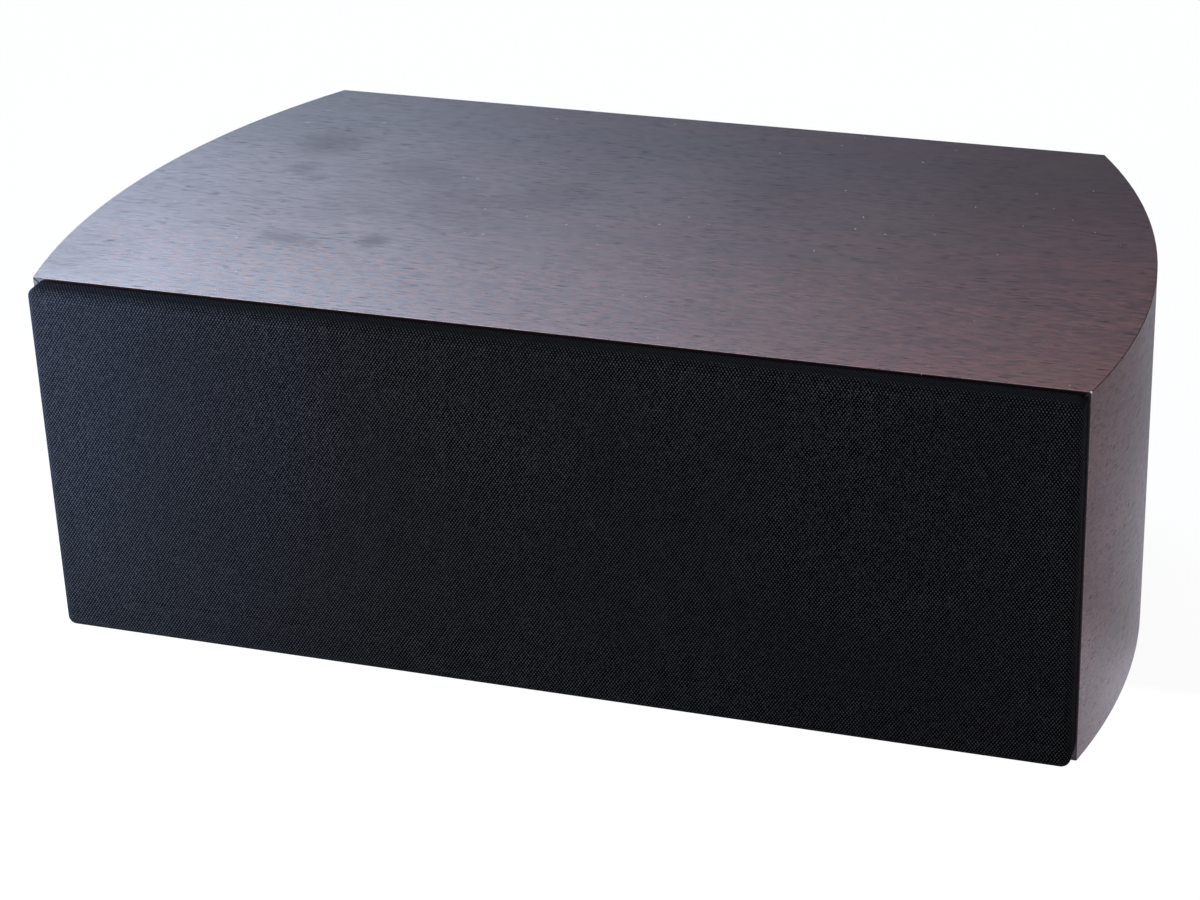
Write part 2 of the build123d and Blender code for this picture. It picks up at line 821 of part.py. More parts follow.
def make_magnet(x):
    return turned(
        x,
        woofer_z,
        (magnet_bore_radius, top_plate_back),
        (magnet_radius - magnet_bevel, top_plate_back),
        (magnet_radius, top_plate_back + magnet_bevel),
        (magnet_radius, magnet_back - magnet_bevel),
        (magnet_radius - magnet_bevel, magnet_back),
        (magnet_bore_radius, magnet_back),
    )


def make_pole_plate(x):
    """The back plate and the vented pole, turned from one piece."""
    return turned(
        x,
        woofer_z,
        (pole_vent_radius, basket_depth),
        (pole_radius, basket_depth),
        (pole_radius, magnet_back),
        (top_plate_radius, magnet_back),
        (top_plate_radius, pole_plate_back),
        (pole_vent_radius + pole_vent_bevel, pole_plate_back),
        (pole_vent_radius, pole_plate_back - pole_vent_bevel),
    )


for side, axis_x in (("left", -woofer_x), ("right", woofer_x)):
    save(make_basket(axis_x), f"woofer_basket_{side}")
    save(make_surround(axis_x), f"woofer_surround_{side}")
    save(make_cone(axis_x), f"woofer_cone_{side}")
    save(make_dust_cap(axis_x), f"dust_cap_{side}")
    save(make_voice_coil(axis_x), f"woofer_coil_{side}")
    save(make_spider(axis_x), f"spider_{side}")
    save(make_top_plate(axis_x), f"woofer_top_plate_{side}")
    save(make_magnet(axis_x), f"woofer_magnet_{side}")
    save(make_pole_plate(axis_x), f"woofer_pole_plate_{side}")

woofer_screws = screw_set(
    woofer_screw_places,
    wood_screw_radius,
    wood_screw_length,
    wood_screw_head_radius,
    woofer_screw_seat,
)
save(woofer_screws, "woofer_screws")

# Tweeter: faceplate with a shallow horn, soft dome, coil and magnet
dome_edge = faceplate_thickness + dome_thickness
tweeter_top_back = dome_edge + tweeter_plate_thickness
tweeter_magnet_back = tweeter_top_back + tweeter_magnet_thickness
tweeter_pole_back = tweeter_magnet_back + tweeter_plate_thickness
tweeter_coil_inner = dome_radius - tweeter_coil_wall
tweeter_coil_start = dome_edge + tweeter_coil_gap
tweeter_plate_radius = tweeter_magnet_radius - tweeter_plate_step
horn_throat_depth = faceplate_thickness - horn_throat_land

with BuildPart() as tweeter_faceplate:
    with BuildSketch(turning_plane(0, tweeter_z)):
        with BuildLine():
            Polyline(
                (horn_throat_radius, horn_throat_depth),
                (horn_throat_radius, faceplate_thickness),
                (faceplate_radius, faceplate_thickness),
                (faceplate_radius, faceplate_bevel),
                (faceplate_radius - faceplate_bevel, 0),
                (horn_mouth_radius, 0),
            )
            TangentArc(
                (horn_mouth_radius, 0),
                (horn_throat_radius, horn_throat_depth),
                tangent=(-1, 0),
            )
        make_face()
    revolve(axis=turning_axis(0, tweeter_z))
    with BuildSketch(front_plane(0, 0, 0)):
        with Locations(*tweeter_screw_places):
            Circle(small_screw_head_radius + screw_clearance)
    extrude(amount=-tweeter_screw_seat, mode=Mode.SUBTRACT)
    with BuildSketch(front_plane(0, 0, 0)):
        with Locations(*tweeter_screw_places):
            Circle(small_screw_radius + screw_clearance)
    extrude(amount=-faceplate_thickness, mode=Mode.SUBTRACT)
save(tweeter_faceplate, "tweeter_faceplate")

dome_front = cap_points(dome_radius, dome_rise, dome_edge - dome_thickness)
dome_back = cap_points(dome_radius, dome_rise, dome_edge)
dome_roll_middle = (dome_radius + dome_roll_outer) / 2
dome_roll_rise = (dome_roll_outer - dome_radius) / 2
with BuildPart() as tweeter_dome:
    with BuildSketch(turning_plane(0, tweeter_z)):
        with BuildLine():
            ThreePointArc(*dome_front)
            ThreePointArc(
                dome_front[-1],
                (dome_roll_middle, dome_front[-1][1] - dome_roll_rise),
                (dome_roll_outer, dome_front[-1][1]),
            )
            Polyline(
                (dome_roll_outer, dome_front[-1][1]),
                (dome_foot_radius, dome_front[-1][1]),
                (dome_foot_radius, dome_edge),
                (dome_roll_outer, dome_edge),
            )
            ThreePointArc(
                (dome_roll_outer, dome_edge),
                (dome_roll_middle, dome_edge - dome_roll_rise),
                dome_back[-1],
            )
            ThreePointArc(*reversed(dome_back))
            Line(dome_back[0], dome_front[0])
        make_face()
    revolve(axis=turning_axis(0, tweeter_z))
save(tweeter_dome, "tweeter_dome")

tweeter_coil = turned(
    0,
    tweeter_z,
    (tweeter_coil_inner, tweeter_coil_start),
    (dome_radius, tweeter_coil_start),
    (dome_radius, dome_edge + tweeter_coil_length),
    (tweeter_coil_inner, dome_edge + tweeter_coil_length),
)
save(tweeter_coil, "tweeter_coil")

tweeter_top_plate = turned(
    0,
    tweeter_z,
    (dome_radius + gap_clearance, dome_edge),
    (tweeter_plate_radius, dome_edge),
    (tweeter_plate_radius, tweeter_top_back),
    (dome_radius + gap_clearance, tweeter_top_back),
)
save(tweeter_top_plate, "tweeter_top_plate")

tweeter_magnet = turned(
    0,
    tweeter_z,
    (tweeter_magnet_bore, tweeter_top_back),
    (tweeter_magnet_radius, tweeter_top_back),
    (tweeter_magnet_radius, tweeter_magnet_back),
    (tweeter_magnet_bore, tweeter_magnet_back),
)
save(tweeter_magnet, "tweeter_magnet")

tweeter_pole_plate = turned(
    0,
    tweeter_z,
    (0, dome_edge),
    (tweeter_coil_inner - gap_clearance, dome_edge),
    (tweeter_coil_inner - gap_clearance, tweeter_magnet_back),
    (tweeter_plate_radius, tweeter_magnet_back),
    (tweeter_plate_radius, tweeter_pole_back),
    (0, tweeter_pole_back),
)
save(tweeter_pole_plate, "tweeter_pole_plate")

tweeter_screws = screw_set(
    tweeter_screw_places,
    small_screw_radius,
    small_screw_length,
    small_screw_head_radius,
    tweeter_screw_seat,
)
save(tweeter_screws, "tweeter_screws")

# Terminal cup: a flanged, drafted recess in the back panel
cup_floor_depth = cabinet_depth - cup_depth
post_places = [(-post_spacing / 2, middle_z), (post_spacing / 2, middle_z)]
with BuildPart() as terminal_cup:
    with BuildSketch(front_plane(0, cabinet_depth, middle_z)):
        RectangleRounded(cup_flange_width, cup_flange_height, cup_flange_radius)
    extrude(amount=-trim_thickness)
    fillet(terminal_cup.faces().sort_by(Axis.Y)[-1].edges(), radius=trim_thickness * 0.5)
    with BuildSketch(front_plane(0, cabinet_depth, middle_z)):
        RectangleRounded(cup_width + 2 * cup_wall, cup_height + 2 * cup_wall, cup_corner_radius + cup_wall)
    extrude(amount=cup_depth + cup_wall, taper=cup_draft)
    with BuildSketch(front_plane(0, cabinet_depth + trim_thickness, middle_z)):
        RectangleRounded(cup_width, cup_height, cup_corner_radius)
    extrude(amount=cup_depth + trim_thickness, taper=cup_draft, mode=Mode.SUBTRACT)
    with BuildSketch(front_plane(0, cup_floor_depth, 0)):
        with Locations(*post_places):
            Circle(post_radius + screw_clearance)
    extrude(amount=cup_wall, mode=Mode.SUBTRACT)
    with BuildSketch(front_plane(0, cabinet_depth, 0)):
        with Locations(*cup_screw_places):
            Circle(small_screw_radius + screw_clearance)
    extrude(amount=-trim_thickness, mode=Mode.SUBTRACT)
save(terminal_cup, "terminal_cup")

with BuildPart() as terminal_screws:
    with BuildSketch(front_plane(0, cabinet_depth + trim_thickness, 0)):
        with Locations(*cup_screw_places):
            Circle(small_screw_radius)
    extrude(amount=small_screw_length)
    with BuildSketch(front_plane(0, cabinet_depth + trim_thickness, 0)):
        with Locations(*cup_screw_places):
            Circle(small_screw_head_radius)
    extrude(amount=-screw_head_height)
    chamfer(
        terminal_screws.faces().filter_by(Axis.Y).group_by(Axis.Y)[-1].edges(),
        length=screw_head_height * 0.3,
    )
save(terminal_screws, "terminal_screws")

# Binding posts: a bored stud with a collar, a brass insert and a ridged shell that unscrew
collar_back = cup_floor_depth + post_collar_thickness
nut_start = collar_back + nut_seat_gap
nut_end = nut_start + nut_length
post_end = cup_floor_depth + post_rear_reach
post_inner_end = cup_floor_depth - post_inner_reach
insert_start = nut_start + (nut_length - nut_insert_length) / 2
insert_end = insert_start + nut_insert_length
insert_bore = post_radius + thread_clearance
shell_bore = nut_insert_radius + thread_clearance


def make_post(x):
    with BuildPart() as post:
        with BuildSketch(turning_plane(x, middle_z)):
            with BuildLine():
                Polyline(
                    (0, post_inner_end),
                    (post_radius, post_inner_end),
                    (post_radius, cup_floor_depth),
                    (post_collar_radius, cup_floor_depth),
                    (post_collar_radius, collar_back),
                    (post_radius, collar_back),
                    (post_radius, post_end),
                    (post_bore_radius, post_end),
                    (post_bore_radius, post_end - post_bore_depth),
                    (0, post_end - post_bore_depth),
                    close=True,
                )
            make_face()
        revolve(axis=turning_axis(x, middle_z))
    return post


def make_nut_insert(x):
    return turned(
        x,
        middle_z,
        (insert_bore, insert_start),
        (nut_insert_radius, insert_start),
        (nut_insert_radius, insert_end),
        (insert_bore, insert_end),
    )


def make_nut_shell(x):
    """The ridged plastic shell that the fingers turn."""
    ridge_width = math.pi * nut_radius / nut_ridge_count
    with BuildPart() as shell:
        with BuildSketch(front_plane(x, nut_end, middle_z)):
            Circle(nut_radius)
            with PolarLocations(nut_radius, nut_ridge_count):
                Rectangle(2 * nut_ridge_depth, ridge_width, mode=Mode.SUBTRACT)
            Circle(shell_bore, mode=Mode.SUBTRACT)
        extrude(amount=nut_length)
    return shell


with BuildPart() as post_lock_nuts:
    with BuildSketch(front_plane(0, cup_floor_depth - cup_wall, 0)):
        with Locations(*post_places):
            RegularPolygon(lock_nut_radius, 6)
        with Locations(*post_places):
            Circle(post_radius + thread_clearance, mode=Mode.SUBTRACT)
    extrude(amount=lock_nut_thickness)
save(post_lock_nuts, "post_lock_nuts")

for colour, axis_x in (("red", post_spacing / 2), ("black", -post_spacing / 2)):
    save(make_post(axis_x), f"post_{colour}")
    save(make_nut_insert(axis_x), f"nut_insert_{colour}")
    save(make_nut_shell(axis_x), f"nut_shell_{colour}")


# Ports: moulded tubes with a flared mouth, one either side of the terminals
def make_port(x):
    mouth = cabinet_depth + trim_thickness
    inner_end = cabinet_depth - port_length
    flare_centre = (port_radius + port_flare_radius, mouth - port_flare_radius)
    flare_half = port_flare_radius * math.sqrt(0.5)
    outer = port_radius + port_wall
    with BuildPart() as port:
        with BuildSketch(turning_plane(x, middle_z)):
            with BuildLine():
                Line((port_radius, inner_end), (port_radius, mouth - port_flare_radius))
                ThreePointArc(
                    (port_radius, mouth - port_flare_radius),
                    (flare_centre[0] - flare_half, flare_centre[1] + flare_half),
                    (port_radius + port_flare_radius, mouth),
                )
                Polyline(
                    (port_radius + port_flare_radius, mouth),
                    (port_flange_radius - port_flange_bevel, mouth),
                    (port_flange_radius, mouth - port_flange_bevel),
                    (port_flange_radius, cabinet_depth),
                    (port_socket_radius, cabinet_depth),
                    (port_socket_radius, cabinet_depth - port_socket_depth),
                    (outer, cabinet_depth - port_socket_depth - (port_socket_radius - outer)),
                    (outer, inner_end),
                    (port_radius, inner_end),
                )
            make_face()
        revolve(axis=turning_axis(x, middle_z))
    return port


save(make_port(-port_x), "port_left")
save(make_port(port_x), "port_right")

# Crossover: a small board on standoffs in the middle chamber, with its coils and capacitors,
# whose sizes follow from the board's depth
spool_radius = board_depth * spool_share
winding_radius = spool_radius - winding_step
small_choke_radius = board_depth * small_choke_share
capacitor_radius = board_depth * capacitor_share
resistor_size = board_depth * resistor_share
board_far = front_y + chamber_back - board_back_gap
board_y = board_far - board_depth / 2
board_z = floor_z + standoff_height
board_top = board_z + board_thickness
standoff_places = [
    (x * (board_width / 2 - standoff_inset), board_y + y * (board_depth / 2 - standoff_inset))
    for x in (-1, 1)
    for y in (-1, 1)
]
with BuildPart() as crossover_board:
    with BuildSketch(Plane.XY.offset(board_z)):
        with Locations((0, board_y)):
            RectangleRounded(board_width, board_depth, board_corner_radius)
        with Locations(*standoff_places):
            Circle(small_screw_radius + screw_clearance, mode=Mode.SUBTRACT)
    extrude(amount=board_thickness)
save(crossover_board, "crossover_board")

with BuildPart() as board_standoffs:
    with BuildSketch(Plane.XY.offset(floor_z)):
        with Locations(*standoff_places):
            Circle(standoff_radius)
    extrude(amount=standoff_height)
    with BuildSketch(Plane.XY.offset(board_z)):
        with Locations(*standoff_places):
            Circle(small_screw_radius)
    extrude(amount=board_thickness)
    with BuildSketch(Plane.XY.offset(board_top)):
        with Locations(*standoff_places):
            Circle(small_screw_head_radius)
    extrude(amount=screw_head_height)
save(board_standoffs, "board_standoffs")

bass_choke_x = -board_width / 2 + spool_radius + choke_side_gap
small_choke_x = board_width / 2 - small_choke_radius - small_choke_side_gap
choke_y = board_y + board_depth / 2 - spool_radius - choke_end_gap
with BuildPart() as bass_choke_spool:
    with BuildSketch(Plane.XY.offset(board_top)):
        with Locations((bass_choke_x, choke_y)):
            Circle(spool_radius)
    extrude(amount=spool_flange)
    with BuildSketch(Plane.XY.offset(board_top + spool_flange)):
        with Locations((bass_choke_x, choke_y)):
            Circle(spool_bore_radius + spool_flange)
    extrude(amount=spool_height - 2 * spool_flange)
    with BuildSketch(Plane.XY.offset(board_top + spool_height - spool_flange)):
        with Locations((bass_choke_x, choke_y)):
            Circle(spool_radius)
    extrude(amount=spool_flange)
    with BuildSketch(Plane.XY.offset(board_top)):
        with Locations((bass_choke_x, choke_y)):
            Circle(spool_bore_radius)
    extrude(amount=spool_height, mode=Mode.SUBTRACT)
save(bass_choke_spool, "bass_choke_spool")

with BuildPart() as bass_choke_winding:
    with BuildSketch(Plane.XY.offset(board_top + spool_flange)):
        with Locations((bass_choke_x, choke_y)):
            Circle(winding_radius)
            Circle(spool_bore_radius + spool_flange, mode=Mode.SUBTRACT)
    extrude(amount=spool_height - 2 * spool_flange)
save(bass_choke_winding, "bass_choke_winding")

with BuildPart() as treble_choke:
    with BuildSketch(Plane.XY.offset(board_top)):
        with Locations((small_choke_x, choke_y)):
            Circle(small_choke_radius)
            Circle(small_choke_radius * 0.5, mode=Mode.SUBTRACT)
    extrude(amount=small_choke_height)
    fillet(treble_choke.faces().sort_by(Axis.Z)[-1].edges(), radius=small_choke_round)
save(treble_choke, "treble_choke")

capacitor_y = board_y - board_depth / 2 + capacitor_radius + capacitor_end_gap
capacitor_x = (capacitor_length + capacitor_gap) / 2
with BuildPart() as capacitors:
    for x in (-capacitor_x, capacitor_x):
        with BuildSketch(Plane.YZ.offset(x - capacitor_length / 2)):
            with Locations((capacitor_y, board_top + capacitor_radius)):
                Circle(capacitor_radius)
        extrude(amount=capacitor_length)
    chamfer(capacitors.faces().filter_by(Axis.X).edges(), length=capacitor_bevel)
save(capacitors, "capacitors")

with BuildPart() as power_resistor:
    with BuildSketch(Plane.XY.offset(board_top)):
        with Locations((small_choke_x - resistor_shift, capacitor_y + capacitor_radius + resistor_size)):
            Rectangle(resistor_length, resistor_size)
    extrude(amount=resistor_size)
    chamfer(power_resistor.faces().sort_by(Axis.Z)[-1].edges(), length=resistor_bevel)
save(power_resistor, "power_resistor")
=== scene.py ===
import json
import math

import bmesh
import bpy
from mathutils import Matrix, Vector


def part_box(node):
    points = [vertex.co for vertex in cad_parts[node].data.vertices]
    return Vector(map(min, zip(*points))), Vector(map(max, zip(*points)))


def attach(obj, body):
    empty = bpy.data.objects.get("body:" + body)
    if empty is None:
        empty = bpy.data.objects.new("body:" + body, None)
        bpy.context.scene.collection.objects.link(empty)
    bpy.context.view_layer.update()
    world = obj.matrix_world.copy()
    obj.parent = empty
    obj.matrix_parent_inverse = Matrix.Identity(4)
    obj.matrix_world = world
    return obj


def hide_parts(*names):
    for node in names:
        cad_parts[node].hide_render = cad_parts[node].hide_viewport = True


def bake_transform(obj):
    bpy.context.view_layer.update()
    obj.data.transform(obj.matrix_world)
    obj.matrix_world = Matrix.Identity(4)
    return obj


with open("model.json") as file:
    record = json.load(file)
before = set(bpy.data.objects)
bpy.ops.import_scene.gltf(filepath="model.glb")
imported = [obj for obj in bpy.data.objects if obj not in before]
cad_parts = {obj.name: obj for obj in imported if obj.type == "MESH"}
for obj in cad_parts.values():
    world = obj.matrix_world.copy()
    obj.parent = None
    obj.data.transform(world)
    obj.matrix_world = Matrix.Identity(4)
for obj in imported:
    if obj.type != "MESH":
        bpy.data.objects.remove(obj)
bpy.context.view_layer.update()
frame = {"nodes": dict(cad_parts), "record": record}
nodes = frame["nodes"]

# The speaker's own places, in metres: the cabinet's front and top, and the grille before it
top_low, top_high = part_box("top_panel")
cloth_low, cloth_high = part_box("grille_cloth")
CABINET_FRONT = top_low.y
CABINET_TOP = top_high.z

# The cloth's threads per metre along its width and its height
CLOTH_WARP = (640.0, 455.0, 0.0)
CLOTH_WEFT = (640.0, -446.0, 0.0)

# Smudges that dull and darken the top: x, y, radius and strength
SMUDGES = [
    (-0.182, 0.062, 0.026, 0.5), (-0.180, 0.028, 0.015, 0.45), (-0.169, 0.016, 0.009, 0.4),
    (-0.162, -0.059, 0.010, 0.5), (-0.151, -0.061, 0.012, 0.6), (-0.139, -0.064, 0.008, 0.45),
    (-0.110, -0.053, 0.012, 0.7), (-0.124, 0.036, 0.030, 0.3), (-0.045, 0.020, 0.034, 0.22),
    (0.060, 0.050, 0.040, 0.2), (-0.245, -0.105, 0.050, 0.4),
    (-0.095, -0.005, 0.050, 0.3), (-0.140, -0.015, 0.035, 0.2),
]
# A chip in the veneer at the front right corner
CHIP_PLACE = (0.2499, -0.1328, 0.1859)
CHIP_RADIUS = 0.0007


# Making shader nodes
def feed(tree, socket, value):
    """Links another socket's value to a socket, or sets a plain value on it."""
    if isinstance(value, bpy.types.NodeSocket):
        tree.links.new(value, socket)
    else:
        socket.default_value = value


def add_node(tree, kind, inputs=None, **settings):
    """Adds a node with its settings, and links or sets each named input."""
    node = tree.nodes.new(kind)
    for name, value in settings.items():
        setattr(node, name, value)
    for key, value in (inputs or {}).items():
        feed(tree, node.inputs[key], value)
    return node


def calc(tree, operation, first, second=0.0, third=0.0):
    """One sum on up to three numbers."""
    given = {0: first, 1: second, 2: third}
    return add_node(tree, "ShaderNodeMath", given, operation=operation).outputs[0]


def centred(tree, value):
    """A pattern from 0 to 1 moved to lie evenly round 0."""
    return calc(tree, "SUBTRACT", value, 0.5)


def swing(tree, turns):
    """A wave from 0 to 1 that repeats with each turn."""
    return calc(tree, "MULTIPLY_ADD", calc(tree, "SINE", calc(tree, "MULTIPLY", turns, math.tau)), 0.5, 0.5)


def dot(tree, place, along):
    """The place's distance along a direction, times the direction's length."""
    given = {0: place, 1: along}
    return add_node(tree, "ShaderNodeVectorMath", given, operation="DOT_PRODUCT").outputs["Value"]


def away_from(tree, place, point):
    """How far the place is from a point."""
    given = {0: place, 1: point}
    return add_node(tree, "ShaderNodeVectorMath", given, operation="DISTANCE").outputs["Value"]


def blend(tree, share, first, second, how="MIX"):
    """Two colours mixed by a share of the second."""
    return add_node(
        tree, "ShaderNodeMix", {0: share, 6: first, 7: second}, data_type="RGBA", blend_type=how
    ).outputs[2]


def ramp(tree, value, start, end, low=0.0, high=1.0):
    """A soft step from low to high as the value goes from start to end."""
    wanted = {"Value": value, "From Min": start, "From Max": end, "To Min": low, "To Max": high}
    return add_node(tree, "ShaderNodeMapRange", wanted, interpolation_type="SMOOTHSTEP").outputs["Result"]


def stretch(tree, place, scale):
    """The place multiplied by its own factor along each axis."""
    return add_node(tree, "ShaderNodeVectorMath", {0: place, 1: scale}, operation="MULTIPLY").outputs[0]


def speckle(tree, place, scale, detail=2.0, roughness=0.5):
    """A cloudy pattern from 0 to 1, each blob about 1 / scale metres wide."""
    wanted = {"Vector": place, "Scale": scale, "Detail": detail, "Roughness": roughness}
    return add_node(tree, "ShaderNodeTexNoise", wanted).outputs["Fac"]


def new_group(name, inputs, outputs):
    """An empty node group with its named sockets; returns the tree, its input and its output node."""
    tree = bpy.data.node_groups.new(name, "ShaderNodeTree")
    kinds = {"colour": "NodeSocketColor", "number": "NodeSocketFloat", "vector": "NodeSocketVector"}
    for side, sockets in (("INPUT", inputs), ("OUTPUT", outputs)):
        for socket, kind in sockets:
            tree.interface.new_socket(socket, in_out=side, socket_type=kinds[kind])
    return tree, tree.nodes.new("NodeGroupInput"), tree.nodes.new("NodeGroupOutput")


def use_group(tree, group, inputs):
    """Places a node group in a material with its own values."""
    node = tree.nodes.new("ShaderNodeGroup")
    node.node_tree = group
    for key, value in inputs.items():
        feed(tree, node.inputs[key], value)
    return node


def new_material(name):
    """A bare material: its tree, its shader and the place on the piece."""
    material = bpy.data.materials.new(name)
    material.use_nodes = True
    tree = material.node_tree
    shader = tree.nodes["Principled BSDF"]
    place = tree.nodes.new("ShaderNodeTexCoord").outputs["Object"]
    return material, tree, shader, place


def connect(tree, shader, **sockets):
    """Feeds or sets the shader's own sockets."""
    for name, value in sockets.items():
        feed(tree, shader.inputs[name.replace("_", " ")], value)


def bump(tree, height, strength, distance):
    """A normal bent by a height."""
    wanted = {"Height": height, "Strength": strength, "Distance": distance}
    return add_node(tree, "ShaderNodeBump", wanted).outputs["Normal"]


# Shared effects
# How fine the veneer's grain is, per metre along it and across it
GRAIN_BANDS = (1.3, 34.0, 34.0)
GRAIN_STREAKS = (12.0, 240.0, 240.0)
GRAIN_FIBRES = (105.0, 1050.0, 1050.0)
GRAIN_PORES = (130.0, 1300.0, 1300.0)
GRAIN_PATCHES = (14.0, 90.0, 90.0)


def make_wood_grain():
    """Straight veneer grain along X: soft bands, streaks, fibres, and short dark pores."""
    tree, given, result = new_group(
        "wood_grain",
        [("Place", "vector"), ("Light", "colour"), ("Dark", "colour"), ("Pore", "colour")],
        [("Colour", "colour"), ("Roughness", "number"), ("Lacquer", "number"), ("Height", "number")],
    )
    place = given.outputs["Place"]
    broad = speckle(tree, stretch(tree, place, GRAIN_BANDS), 1.0, 3.0)
    streaks = speckle(tree, stretch(tree, place, GRAIN_STREAKS), 1.0, 2.0, 0.6)
    fibres = speckle(tree, stretch(tree, place, GRAIN_FIBRES), 1.0, 2.0, 0.7)
    fine = speckle(tree, stretch(tree, place, GRAIN_PORES), 1.0, 1.0)
    patches = speckle(tree, stretch(tree, place, GRAIN_PATCHES), 1.0, 2.0)
    crowded = ramp(tree, patches, 0.34, 0.60, 0.55, 1.0)
    pores = calc(tree, "MULTIPLY", ramp(tree, fine, 0.60, 0.68), crowded)
    share = calc(tree, "MULTIPLY_ADD", broad, 0.7, calc(tree, "MULTIPLY", streaks, 0.15))
    share = ramp(tree, calc(tree, "MULTIPLY_ADD", fibres, 1.5, share), 0.80, 1.55)
    colour = blend(tree, share, given.outputs["Light"], given.outputs["Dark"])
    colour = blend(tree, pores, colour, given.outputs["Pore"])
    lacquer = calc(tree, "MULTIPLY_ADD", centred(tree, fibres), -0.36, 0.96)
    lacquer = calc(tree, "MULTIPLY_ADD", centred(tree, streaks), -0.06, lacquer)
    lacquer = calc(tree, "MAXIMUM", calc(tree, "MULTIPLY_ADD", pores, -0.36, lacquer), 0.2)
    roughness = ramp(tree, calc(tree, "MULTIPLY_ADD", pores, 0.5, fibres), 0.3, 1.1)
    height = calc(tree, "MULTIPLY_ADD", pores, -1.0, calc(tree, "MULTIPLY", fibres, 0.25))
    tree.links.new(colour, result.inputs["Colour"])
    tree.links.new(roughness, result.inputs["Roughness"])
    tree.links.new(calc(tree, "MINIMUM", lacquer, 1.0), result.inputs["Lacquer"])
    tree.links.new(height, result.inputs["Height"])
    return tree


def make_dust():
    """Scattered pale specks, as a mask."""
    tree, given, result = new_group(
        "dust_specks", [("Place", "vector"), ("Scale", "number"), ("Size", "number"), ("Share", "number")],
        [("Mask", "number")],
    )
    spread = {"Vector": given.outputs["Place"], "Scale": given.outputs["Scale"]}
    cells = add_node(tree, "ShaderNodeTexVoronoi", spread)
    near = calc(tree, "LESS_THAN", cells.outputs["Distance"], given.outputs["Size"])
    pick = add_node(tree, "ShaderNodeSeparateColor", {0: cells.outputs["Color"]})
    chosen = calc(tree, "LESS_THAN", pick.outputs[0], given.outputs["Share"])
    strength = calc(tree, "MULTIPLY_ADD", pick.outputs[1], 0.6, 0.4)
    mask = calc(tree, "MULTIPLY", calc(tree, "MULTIPLY", near, chosen), strength)
    tree.links.new(mask, result.inputs["Mask"])
    return tree


def make_weave():
    """Two crossing sets of threads, each given by its threads per metre along X, Y and Z."""
    tree, given, result = new_group(
        "weave", [("Place", "vector"), ("Warp", "vector"), ("Weft", "vector")],
        [("Crown", "number"), ("Height", "number")],
    )
    waves = []
    for threads in ("Warp", "Weft"):
        waves.append(swing(tree, dot(tree, given.outputs["Place"], given.outputs[threads])))
    tree.links.new(calc(tree, "MULTIPLY", waves[0], waves[1]), result.inputs["Crown"])
    tree.links.new(calc(tree, "ADD", waves[0], waves[1]), result.inputs["Height"])
    return tree


def make_smudges():
    """Soft ragged spots that hands have left at given places on the top, as a mask."""
    tree, given, result = new_group("smudges", [("Place", "vector")], [("Mask", "number")])
    ragged = speckle(tree, given.outputs["Place"], 40.0, 2.0)
    total = 0.0
    for x, y, radius, strength in SMUDGES:
        away = away_from(tree, given.outputs["Place"], (x, y, CABINET_TOP))
        away = calc(tree, "MULTIPLY_ADD", centred(tree, ragged), radius * 0.8, away)
        spot = ramp(tree, away, radius, 0.0, 0.0, strength)
        total = calc(tree, "ADD", total, spot)
    tree.links.new(calc(tree, "MINIMUM", total, 1.0), result.inputs["Mask"])
    return tree


def make_moulded():
    """Fine moulded or painted texture: a slight colour drift, a changing gloss and a height."""
    tree, given, result = new_group(
        "moulded_skin", [("Place", "vector"), ("Colour", "colour"), ("Drift", "number"), ("Grain", "number"),
                         ("Gloss low", "number"), ("Gloss high", "number")],
        [("Colour", "colour"), ("Roughness", "number"), ("Height", "number")],
    )
    place = given.outputs["Place"]
    cloud = speckle(tree, place, 35.0, 3.0)
    grain = speckle(tree, place, given.outputs["Grain"])
    shade = calc(tree, "MULTIPLY_ADD", centred(tree, cloud), given.outputs["Drift"], 1.0)
    shaded = {0: given.outputs["Colour"], "Scale": shade}
    tint = add_node(tree, "ShaderNodeVectorMath", shaded, operation="SCALE").outputs[0]
    tree.links.new(tint, result.inputs["Colour"])
    gloss = add_node(tree, "ShaderNodeMapRange", {
        "Value": cloud, "From Min": 0.3, "From Max": 0.7,
        "To Min": given.outputs["Gloss low"], "To Max": given.outputs["Gloss high"],
    }).outputs["Result"]
    tree.links.new(gloss, result.inputs["Roughness"])
    tree.links.new(grain, result.inputs["Height"])
    return tree


WOOD_GRAIN = make_wood_grain()
DUST = make_dust()
WEAVE = make_weave()
SMUDGE_SPOTS = make_smudges()
MOULDED = make_moulded()


# Finishes
# The veneer's colours
VENEER_LIGHT = (0.132, 0.043, 0.027, 1.0)
VENEER_DARK = (0.044, 0.015, 0.011, 1.0)
VENEER_PORE = (0.008, 0.004, 0.004, 1.0)
VENEER_REAR = (0.012, 0.007, 0.008, 1.0)
VENEER_RUBBED = (0.30, 0.17, 0.13, 1.0)
VENEER_STAIN = (0.010, 0.005, 0.005, 1.0)
VENEER_SMUDGE = (0.010, 0.007, 0.008, 1.0)
BARE_CORE = (0.80, 0.77, 0.74, 1.0)
DUST_ON_WOOD = (0.62, 0.60, 0.62, 1.0)

# The cloth's colours: between the threads and on their crowns, in its own dark and where a painted light
# brightens it
CLOTH_GAP_DARK = (0.0003, 0.0003, 0.0004, 1.0)
CLOTH_GAP_PAINTED_LIT = (0.009, 0.010, 0.0145, 1.0)
CLOTH_CROWN_DARK = (0.074, 0.072, 0.072, 1.0)
CLOTH_CROWN_PAINTED_LIT = (0.076, 0.080, 0.094, 1.0)
CLOTH_WORN = (0.006, 0.0065, 0.008, 1.0)
# A painted shade for the cloth's top return
CLOTH_RETURN_PAINTED_SHADE = (0.55, 0.55, 0.55, 1.0)
DUST_ON_CLOTH = (0.24, 0.25, 0.28, 1.0)

# The pitch of the coils' and the chokes' turns
WIRE_PITCH = 0.0009


